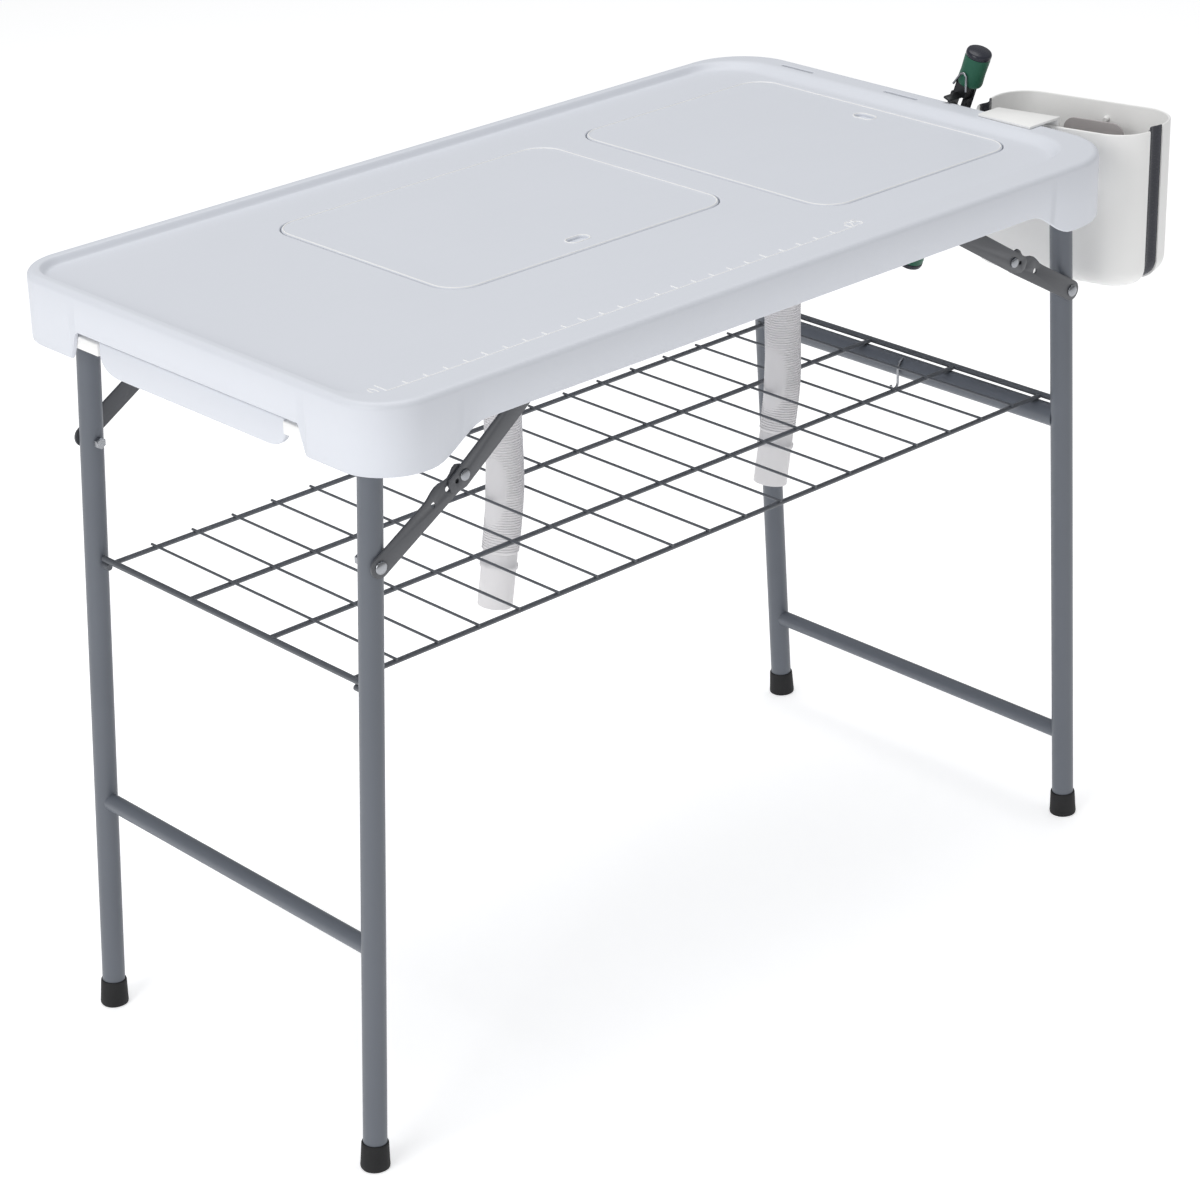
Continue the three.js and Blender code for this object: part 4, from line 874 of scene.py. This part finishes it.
# Folding braces: two flat links a side, with a lock at the elbow. The lock's edge and the tail are given as
# distances past the elbow and heights above the link's middle line
brace = {"studX": 286, "studZ": 815, "boltZ": {"left": 670, "right": 684},
         "lower": {"left": 125.2, "right": 120.4}, "upper": {"left": 137.4, "right": 133.8},
         "width": 23, "thick": 2.5, "gap": 0.3, "soft": 0.5, "middle": 0.45,
         "lockEdge": ((4, 11), (-1, 15.5), (-6, 15), (-11, 12.2), (-16, 11), (-21, 12.2), (-27, 14.8),
                      (-33, 15.5), (-39, 14.5), (-47, 12.1), (-55, 11.5)),
         "tail": ((6, -11.5), (18, -6.5), (22, -0.5), (20.5, 7.5), (16, 11.5)),
         "lockHoles": ((-22, 2, 3, 20), (-44, 2, 3, 20)), "tailHoles": ((10, 3, 2.4, 14),)}
fastener = {"head": 7, "headHeight": 3, "rivet": 6, "rivetHeight": 2.3, "shank": 3, "nut": 6.5,
            "nutHeight": 5, "nutEdge": 0.8, "past": 4, "rivetPast": 0.3, "headEdge": 0.5, "headLip": 0.6,
            "sides": 28}


def elbowPlace(side):
    bolt = Vector((legX(brace["boltZ"][side]), brace["boltZ"][side]))
    stud = Vector((brace["studX"], brace["studZ"]))
    lower, upper = brace["lower"][side], brace["upper"][side]
    span = (stud - bolt).length
    reach = (lower**2 - upper**2 + span**2) / (span * 2)
    heading = (stud - bolt).normalized()
    hang = math.sqrt(lower**2 - reach**2)
    return bolt, stud, bolt + heading * reach - Vector((heading.y, -heading.x)) * hang


# Link outlines run from the end at 0 to the elbow at the link's length, upper side positive
def linkOutline(length, elbowSide):
    end = arc(0, 0, brace["width"] / 2, 90, 270, 12)
    return end + [(length + past, height) for past, height in elbowSide]


def linkHoles(length, holes):
    return [circle(length + past, height, radius, steps) for past, height, radius, steps in holes]


def addBraces(side):
    sign, half = sideSign[side], brace["width"] / 2
    bolt, stud, elbow = elbowPlace(side)
    lower, upper = brace["lower"][side], brace["upper"][side]
    inFace = frames["legY"][side] + frames["radius"] + brace["gap"]
    bend = [(lower * brace["middle"] - lower, -half), (-30, -half), *arc(-4, 0, half, -90, 20, 10),
            *brace["lockEdge"]]
    layers = (("Lower", bolt, inFace, linkOutline(lower, bend), linkHoles(lower, brace["lockHoles"])),
              ("Upper", stud, inFace + brace["gap"] + brace["thick"], linkOutline(upper, brace["tail"]),
               linkHoles(upper, brace["tailHoles"])))
    for name, start, near, outline, holes in layers:
        heading = (elbow - start).normalized()
        rise = Vector((-heading.y, heading.x))
        if rise.y < 0:
            rise = -rise
        for place, linkSign in ends:
            shell = bmesh.new()
            plate(shell, outline, near, near + brace["thick"], holes)
            roundEdges(shell, brace["soft"])
            for vert in shell.verts:
                x, y, z = vert.co
                spot = start + heading * x + rise * z
                vert.co = (sign * spot.x, linkSign * y, spot.y)
            finishPiece(shell, f"{side}{place.title()}{name}Link", f"{side}_{name.lower()}_braces",
                        "bracePaint", (f"{side}_{place}_{name.lower()}_link",))


def domedHead(shell, radius, height, base):
    edge = base + fastener["headEdge"]
    profile = [(0, base), (radius - fastener["headLip"], base), (radius, edge)]
    profile += [(radius * (1 - near), edge + (height - fastener["headEdge"]) * (1 - far))
                for near, far in quarter(6)[1:]]
    lathe(shell, profile, fastener["sides"], closed=False)


def boltShape(shell):
    inner = frames["radius"] + brace["gap"]
    outer = inner + brace["gap"] + brace["thick"]
    nut, under = fastener["nut"], -inner - fastener["nutHeight"]
    domedHead(shell, fastener["head"], fastener["headHeight"], outer)
    rod(shell, fastener["shank"], -inner - fastener["past"], outer + 1)
    lathe(shell, [(0, under), (nut - 1, under), (nut, under + fastener["nutEdge"]), (nut, -inner),
                  (0, -inner)], 6, closed=False)


def rivetShape(shell):
    domedHead(shell, fastener["rivet"], fastener["rivetHeight"], 0)
    rod(shell, fastener["shank"], -brace["thick"] - fastener["rivetPast"], fastener["headEdge"])


boltPattern = pattern("boltPattern", boltShape)
rivetPattern = pattern("rivetPattern", rivetShape)


def addFasteners(side):
    sign, body = sideSign[side], side + "_upper_braces"
    bolt, stud, elbow = elbowPlace(side)
    spread = frames["legY"][side]
    face = spread + frames["radius"] + brace["gap"] * 3 + brace["thick"] * 2
    copies(boltPattern, [((sign * bolt.x, end * spread, bolt.y), (0, end, 0)) for name, end in ends],
           side + "LegBolts", side + "_frame", "zinc", [f"{side}_{name}_leg_bolt" for name, end in ends])
    copies(rivetPattern, [((sign * elbow.x, end * face, elbow.y), (0, end, 0)) for name, end in ends],
           side + "BraceRivets", body, "zinc", [f"{side}_{name}_brace_rivet" for name, end in ends])


for side in sideSign:
    addBraces(side)
    addFasteners(side)
print("braces made")

# Wire shelf: thin cross wires on four long wires, and a thick wire at each end
shelf = {"half": 198.5, "left": -511.9, "right": 521.02, "cells": 19, "longZ": 538.75, "crossZ": 542.5,
         "endZ": 539.5, "long": 2.75, "cross": 1.5, "end": 3.5, "longCount": 4, "tip": 4, "endHalf": 214,
         "crossSides": 12, "endSides": 18, "pinIn": 204.2, "pinOut": 232, "pinZ": 532.2}


def addShelf():
    left, right, half, endSides = shelf["left"], shelf["right"], shelf["half"], shelf["endSides"]
    rows = [half * (2 * row / (shelf["longCount"] - 1) - 1) for row in range(shelf["longCount"])]
    drawn = [[(left, y, shelf["longZ"]), (right, y, shelf["longZ"])] for y in rows]
    wires(drawn, shelf["long"], "shelfLongWires", "shelf", "darkWire", ("wire_shelf",))
    reach = half + shelf["tip"]
    columns = [left + (right - left) / shelf["cells"] * cell for cell in range(1, shelf["cells"])]
    drawn = [[(x, -reach, shelf["crossZ"]), (x, reach, shelf["crossZ"])] for x in columns]
    wires(drawn, shelf["cross"], "shelfCrossWires", "shelf", "darkWire", sides=shelf["crossSides"])
    reach, z = shelf["endHalf"], shelf["endZ"]
    drawn = [[(x, -reach, z), (x, reach, z)] for x in (left, right)]
    wires(drawn, shelf["end"], "shelfEndWires", "shelf", "darkWire", sides=endSides)
    x, z = -legX(shelf["pinZ"]), shelf["pinZ"]
    drawn = [[(x, sign * shelf["pinIn"], z), (x, sign * shelf["pinOut"], z)] for name, sign in ends]
    wires(drawn, shelf["end"], "shelfPins", "left_frame", "darkWire", ("front_shelf_pin", "back_shelf_pin"),
          sides=endSides)


addShelf()

# Hook: over the cross tube by these shares of a quarter turn, straight down, and a curl at its end
hook = {"y": 2, "wire": 1.6, "around": 14.9, "over": (0.3, 0.45, 0.6, 0.8, 1), "drop": 16, "curl": 6}


def addHook():
    x, z, around = legX(frames["crossZ"]), frames["crossZ"], hook["around"]
    turns = [(1 + share) * math.pi / 2 for share in hook["over"]]
    points = [(x + around * math.cos(turn), z + around * math.sin(turn)) for turn in turns]
    points += arc(x - around - hook["curl"], z - hook["drop"], hook["curl"], 0, -180, 6)
    wires([[(px, hook["y"], pz) for px, pz in points]], hook["wire"], "shelfHook", "right_frame", "zinc",
          ("shelf_hook",), corner=0.002)


addHook()
print("shelf made")

# Ruler in the surface: a raised line with a mark at every inch, and the numbers 0 and 25 at its ends, in the
# lighter warm plastic as a painted highlight on the raised lines
ruler = {"start": -487.5, "y": -246, "pitch": 25.4, "count": 25, "mark": 8, "fifth": 11, "first": 19,
         "wire": 0.62, "markGap": 0.3, "digitGap": 1, "digit": (6.5, 15), "zero": -497.5,
         "numberEnd": (154, 164)}
digitShapes = {"0": arc(0, 0.5, 0.5, 0, 360, 16),
               "2": [(-0.5, 0.75), (-0.3, 0.95), (0.1, 1), (0.45, 0.85), (0.45, 0.6), (-0.5, 0), (0.5, 0)],
               "5": [(0.45, 1), (-0.4, 1), (-0.45, 0.6), (0.1, 0.62), (0.5, 0.35), (0.35, 0.08), (-0.1, 0),
                     (-0.5, 0.12)]}
fineWire = {"corner": 0.0001, "sides": 8}


def addRuler():
    start, y = ruler["start"], ruler["y"]
    end = start + ruler["pitch"] * ruler["count"]
    drawn = [[(start, y, surface), (end, y, surface)]]
    for index in range(ruler["count"] + 1):
        length = ruler["first"] if index == 0 else ruler["fifth"] if index % 5 == 0 else ruler["mark"]
        x = start + ruler["pitch"] * index
        drawn.append([(x, y + ruler["markGap"], surface), (x, y + length, surface)])
    wide, tall = ruler["digit"]
    for digit, x in [("0", ruler["zero"]), *zip("25", ruler["numberEnd"])]:
        drawn.append([(x + px * wide, y + ruler["digitGap"] + py * tall, surface)
                      for px, py in digitShapes[digit]])
    # The warm plastic is lighter than the top, so the raised marks carry a painted highlight
    wires(drawn, ruler["wire"], "rulerMarks", "root", "warmPlastic", **fineWire)


addRuler()

# Beads: fine raised lines round each lid and its finger recess, in the lighter warm plastic as a painted
# highlight along the lid edges and the recess rim
highlightBead = {"inset": 1.9, "finger": 1.8, "wire": 0.7, "lift": 0.1}


def addHighlightBead(side):
    drawn = []
    for outline in (lidOutline(lids[side], -highlightBead["inset"]), fingerOutline(lids[side], highlightBead["finger"])):
        ring = level(outline, surface + highlightBead["lift"])
        drawn.append(ring + ring[:1])
    # The warm plastic is lighter than the lid, so these lines are a painted highlight
    wires(drawn, highlightBead["wire"], side + "LidBead", side + "_lid_body", "warmPlastic", **fineWire)


for side in sideSign:
    addHighlightBead(side)
print("ruler and beads made")

# Bin: two rigid half shells with a soft bellows between them, turned a little on its bracket
bucket = {"place": (610.5, -157.5, 848), "turn": math.radians(13), "halfX": 59, "halfY": 109.5, "depth": 185,
          "corner": 44, "floorRound": 24, "wall": 3, "soft": 1.4, "edge": 0.4, "steps": 16,
          "innerEnd": -25, "outerStart": 5, "foldGap": 0.3, "foldIn": 1.5, "foldDepth": 5, "foldSteps": 20,
          "sheet": 1.8}
bucketPlace = Matrix.Translation(bucket["place"]) @ Matrix.Rotation(bucket["turn"], 4, "Z")


# Half outline of the bin in X and Y, open on the cut side, which may lie in the round corners
def halfOutline(inset, cut, sign):
    halfX, halfY, radius = bucket["halfX"] - inset, bucket["halfY"] - inset, bucket["corner"] - inset
    past = max(0, sign * cut - (halfX - radius))
    tilt = math.degrees(math.asin(min(1, past / radius)))
    near = arc(halfX - radius, radius - halfY, radius, tilt - 90, 0, bucket["steps"])
    far = arc(halfX - radius, halfY - radius, radius, 0, 90 - tilt, bucket["steps"])
    points = [(sign * x, y) for x, y in near + far]
    return points if past else [(cut, -halfY), *points, (cut, halfY)]


# Closes a ring that runs out along one outline and back along another
def closeBand(shell, ring):
    half = len(ring) // 2
    for index in range(half - 1):
        mate = 2 * half - 1 - index
        shell.faces.new((ring[index], ring[index + 1], ring[mate - 1], ring[mate]))


def addHalf(name, cut, sign, body, stands):
    shell = bmesh.new()
    wall, bend, soft, depth, edge = (bucket[key] for key in ("wall", "floorRound", "soft", "depth", "edge"))
    rows = [(soft, wall - soft + 0.2, 0, 0), (edge, wall - edge, -0.5, -0.5), (0, wall, -soft, -soft)]
    innerBend = bend - wall
    rows += [(bend * near, wall + innerBend * near, bend * far - depth, wall + innerBend * far - depth)
             for near, far in quarter(10)]
    made = loft(shell, [level(halfOutline(outer, cut, sign), outerZ)
                        + level(reversed(halfOutline(inner, cut, sign)), innerZ)
                        for outer, inner, outerZ, innerZ in rows])
    closeBand(shell, made[0])
    half = len(made[0]) // 2
    floor = made[-1]
    for corners in (floor[:half], floor[half:], (floor[0], floor[half - 1], floor[half], floor[-1])):
        shell.faces.new(corners)
    finishPiece(shell, name, body, "warmPlastic", (stands,), sharp=50, place=bucketPlace)


addHalf("binInnerHalf", bucket["innerEnd"], -1, "bin", "bin_inner_half")
addHalf("binOuterHalf", bucket["outerStart"], 1, "bin_outer", "bin_outer_half")


# The bin's half length where it is cut across at a place along X
def halfLengthAt(x):
    past = max(0, abs(x) - (bucket["halfX"] - bucket["corner"]))
    return bucket["halfY"] - bucket["corner"] + math.sqrt(bucket["corner"]**2 - past**2)


def bellowsSheet(halfY, depth):
    radius = bucket["floorRound"]
    low = depth - bucket["depth"] + radius
    near = arc(radius - halfY, low, radius, 180, 270, 10)
    far = arc(halfY - radius, low, radius, 270, 360, 10)
    return [(-halfY, 0), *near, *far, (halfY, 0)]


def addBellows():
    shell = bmesh.new()
    start, end = bucket["innerEnd"] + bucket["foldGap"], bucket["outerStart"] - bucket["foldGap"]
    sheet = bucket["sheet"]
    rings = []
    for step in range(bucket["foldSteps"] + 1):
        share = step / bucket["foldSteps"]
        x = start + (end - start) * share
        inset = bucket["foldIn"] + bucket["foldDepth"] * math.sin(math.pi * share)**2
        outer = bellowsSheet(halfLengthAt(x) - inset, inset)
        inner = bellowsSheet(halfLengthAt(x) - inset - sheet, inset + sheet)
        rings.append([(x, y, z) for y, z in outer + inner[::-1]])
    made = loft(shell, rings)
    for ring in (made[0], made[-1]):
        closeBand(shell, ring)
    piece = finishPiece(shell, "binBellows", "bin", "slateRubber", ("bin_bellows",), sharp=60,
                        place=bucketPlace)
    tuple(at(*(bucketPlace @ Vector((start, 0, 0)))))
    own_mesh(piece)


addBellows()

# Divider that stands in the outer half, and a peg in its far wall
divider = {"x": 25, "y": -14, "width": 76, "height": 167, "thick": 2.5, "corner": 14, "foot": 14, "z": -181.7,
           "soft": 0.8, "pegY": -16, "pegZ": -20, "peg": 3.2, "pegLength": 7, "pegFlare": 1, "pegSides": 20}


def addDivider():
    shell = bmesh.new()
    half, thick = divider["width"] / 2, divider["thick"]
    outline = roundRect(-half, half, 0, divider["height"], divider["corner"], 8)
    place = bucketPlace @ Matrix.Translation((divider["x"], divider["y"], divider["z"]))
    place = place @ Matrix.Rotation(math.pi / 2, 4, "Z")
    plate(shell, outline, -thick, 0, place=place)
    roundEdges(shell, divider["soft"])
    foot = half - divider["corner"]
    block(shell, -foot, foot, -1, divider["foot"], 0, thick, place)
    finishPiece(shell, "binDivider", "bin_outer", "greyPlastic", ("bin_divider",))
    shell = bmesh.new()
    wallX = bucket["halfX"] - bucket["wall"] + 0.5
    pegEnds = [bucketPlace @ Vector((x, divider["pegY"], divider["pegZ"]))
               for x in (wallX, wallX - divider["pegLength"])]
    place, length = along(*pegEnds)
    peg, flare = divider["peg"], divider["pegFlare"]
    lathe(shell, [(0, 0), (peg + flare, 0), (peg, 1.5), (peg, length - 0.8), (peg - 0.8, length),
                  (0, length)], divider["pegSides"], place, closed=False)
    finishPiece(shell, "binPeg", "bin_outer", "warmPlastic")


addDivider()

# Bracket: a strap from the rim into the inner half, with a tab down into a knife slot
bracket = {"near": -179, "far": -103, "left": 509.4, "low": 855.3, "high": 858.3, "thick": 3, "drop": 34,
           "gap": 0.3, "soft": 0.7, "tabX": 513, "tabY": -146.5, "tabHalf": 23, "tabThick": 1.8,
           "tabDrop": 16}


def addBracket():
    turn, left, low, high = bucket["turn"], bracket["left"], bracket["low"], bracket["high"]
    reach = bucket["halfX"] - bucket["wall"] - bracket["gap"]
    lipX = bucket["place"][0] - reach * math.cos(turn)
    lipY = bucket["place"][1] - reach * math.sin(turn)
    foot = high - bracket["drop"]
    shell = bmesh.new()
    rings = []
    for y in (bracket["near"], bracket["far"]):
        inner = lipX - (y - lipY) * math.tan(turn)
        outer = inner + bracket["thick"] / math.cos(turn)
        profile = [(left, low), (inner, low), (inner, foot), (outer, foot), (outer, high), (left, high)]
        rings.append([(x, y, z) for x, z in profile])
    loft(shell, rings, capStart=True, capEnd=True)
    roundEdges(shell, bracket["soft"])
    tabX, tabY, thick, half = (bracket[key] for key in ("tabX", "tabY", "tabThick", "tabHalf"))
    block(shell, tabX - thick, tabX + thick, tabY - half, tabY + half, low - bracket["tabDrop"], low + 1)
    finishPiece(shell, "binBracket", "bin", "warmPlastic", ("bin_bracket",))


addBracket()
print("bin made")

# Clamp on the end rim: two black levers, with thick green grips and a bright wire below the upper one
clamp = {"place": (552, -33, 833.5), "tilt": math.radians(20), "half": 11, "sheet": 4, "soft": 0.8,
         "jawAt": 26.9, "jawHalf": 5, "jawShare": 0.7, "reach": 28, "body": (-7, 9, 44),
         "ear": 8, "earThick": 3.4, "outerEar": 7.6, "innerEar": 3.9, "upper": 74, "lower": 189, "hold": 33,
         "grip": 15, "gripSides": 44, "upperGrip": 44, "lowerGrip": 58, "cap": 7,
         "wire": 1.3, "wireSides": 12, "wireDrop": 2, "wireRise": 17, "wireShare": 0.35}
clampPlace = Matrix.Translation(clamp["place"]) @ Matrix.Rotation(clamp["tilt"], 4, "X")


def addLever(name, body, stands, sign, handleEnd, earInner):
    shell, stem = bmesh.new(), bmesh.new()
    place = clampPlace @ Matrix.Diagonal((1, 1, sign, 1))
    half, ear, sheet, jaw, jawHalf = (clamp[key] for key in ("half", "ear", "sheet", "jawAt", "jawHalf"))
    block(shell, -clamp["reach"], ear, -jawHalf, jawHalf, jaw, jaw + sheet * clamp["jawShare"], place)
    roundEdges(shell, clamp["soft"])
    block(stem, ear - sheet, ear, -half, half, jaw + 1, handleEnd, place)
    for side in (-1, 1):
        near, far = sorted((side * earInner, side * (earInner + clamp["earThick"])))
        block(stem, -ear, ear, near, far, -ear, jaw + 1, place)
    if sign > 0:
        back, across, high = clamp["body"]
        block(stem, back, ear, -across, across, jaw + 1, high, place)
    roundEdges(stem, clamp["soft"])
    mesh = toMesh(stem, name + "Stem")
    shell.from_mesh(mesh)
    bpy.data.meshes.remove(mesh)
    finishPiece(shell, name, body, "blackSteel", (stands,))


addLever("clampUpperLever", "root", "clamp_upper_lever", 1, clamp["upper"], clamp["outerEar"])
addLever("clampLowerLever", "clamp_lower", "clamp_lower_lever", -1, clamp["lower"], clamp["innerEar"])


def addGrip(name, body, stands, length, start, sign):
    radius, end, sides = clamp["grip"], length - clamp["cap"], clamp["gripSides"]
    place = clampPlace @ Matrix.Translation((clamp["ear"] - clamp["sheet"] / 2, 0, start))
    if sign < 0:
        place = place @ Matrix.Rotation(math.pi, 4, "X")
    shell = bmesh.new()
    lathe(shell, [(0, 1.5), (radius - 5, 0.4), (radius - 2.5, 0), (radius - 0.8, 1.2), (radius, 4),
                  (radius - 0.5, length * 0.4), (radius, end - 2), (radius - 0.4, end), (0, end)],
          sides, place, closed=False)
    finishPiece(shell, name, body, "greenGrip", (stands,), sharp=60)
    shell = bmesh.new()
    lathe(shell, [(0, end + 0.1), (radius - 0.6, end + 0.1), (radius, end + 1), (radius, length - 3),
                  (radius - 0.8, length - 1), (radius - 2.6, length), (0, length)], sides, place,
          closed=False)
    finishPiece(shell, name + "Cap", body, "slateRubber", sharp=60)


upperHold = clamp["upper"] - clamp["hold"]
addGrip("clampUpperGrip", "root", "clamp_upper_grip", clamp["upperGrip"], upperHold, 1)
addGrip("clampLowerGrip", "clamp_lower", "clamp_lower_grip", clamp["lowerGrip"],
        clamp["hold"] - clamp["lower"], -1)


def addClampWire():
    front = clamp["ear"] - clamp["sheet"] / 2 - clamp["grip"] - 1
    low, high = upperHold - clamp["wireDrop"], upperHold + clamp["wireRise"]
    across = clamp["half"] - 1
    inner = across * clamp["wireShare"]
    marks = [(front, -across, low), (front, -inner, high), (front, inner, high), (front, across, low)]
    wires([[tuple(clampPlace @ Vector(mark)) for mark in marks]], clamp["wire"], "clampWire", "root", "zinc",
          corner=0.003, sides=clamp["wireSides"])


addClampWire()
print("clamp made")

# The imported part's own rails and pin stay, in the finishes of the pieces round them
for name, finish in (("front_rail", "greyPaint"), ("back_rail", "greyPaint"), ("clamp_pin", "zinc")):
    bpy.data.objects[name].data.materials.clear()
    bpy.data.objects[name].data.materials.append(finishes[finish])

# Pale floor, and soft light from above and from the left end, in metres
stage = {"half": 30, "tone": tone(0.94, 0.94, 0.945), "shade": tone(0.93, 0.93, 0.935), "glow": 0.46,
         "world": (0.98, 0.99, 1.0), "worldStrength": 0.34, "aim": (0, 0, 0.6)}
lights = {"key": {"place": (-4.6, -0.7, 2.6), "size": 2.6, "power": 82},
          "sky": {"place": (0.3, 0.4, 4.9), "size": 4, "power": 120}}


def addStage():
    finish = Finish("floor", Specular_IOR_Level=0.1, Emission_Color=tone(1, 1, 1),
                    Emission_Strength=stage["glow"])
    speckle = finish.noise(3)
    coat = finish.drive(Base_Color=finish.blend(speckle, stage["tone"], stage["shade"]),
                        Roughness=0.8 + speckle * 0.1)
    half = stage["half"]
    mesh = bpy.data.meshes.new("floor")
    mesh.from_pydata([(-half, -half, 0), (half, -half, 0), (half, half, 0), (-half, half, 0)], [],
                     [(0, 1, 2, 3)])
    mesh.materials.append(coat)
    floor = addToScene(bpy.data.objects.new("floor", mesh))
    world = bpy.data.worlds.new("studio")
    world.use_nodes = True
    back = world.node_tree.nodes["Background"]
    back.inputs["Color"].default_value = (*stage["world"], 1)
    back.inputs["Strength"].default_value = stage["worldStrength"]
    bpy.context.scene.world = world
    for name, light in lights.items():
        lamp = bpy.data.lights.new(name, "AREA")
        lamp.size = light["size"]
        lamp.energy = light["power"]
        holder = addToScene(bpy.data.objects.new(name, lamp))
        holder.location = light["place"]
        aim = Vector(stage["aim"]) - Vector(light["place"])
        holder.rotation_euler = aim.to_track_quat("-Z", "Y").to_euler()


addStage()
print("stage and lights placed")
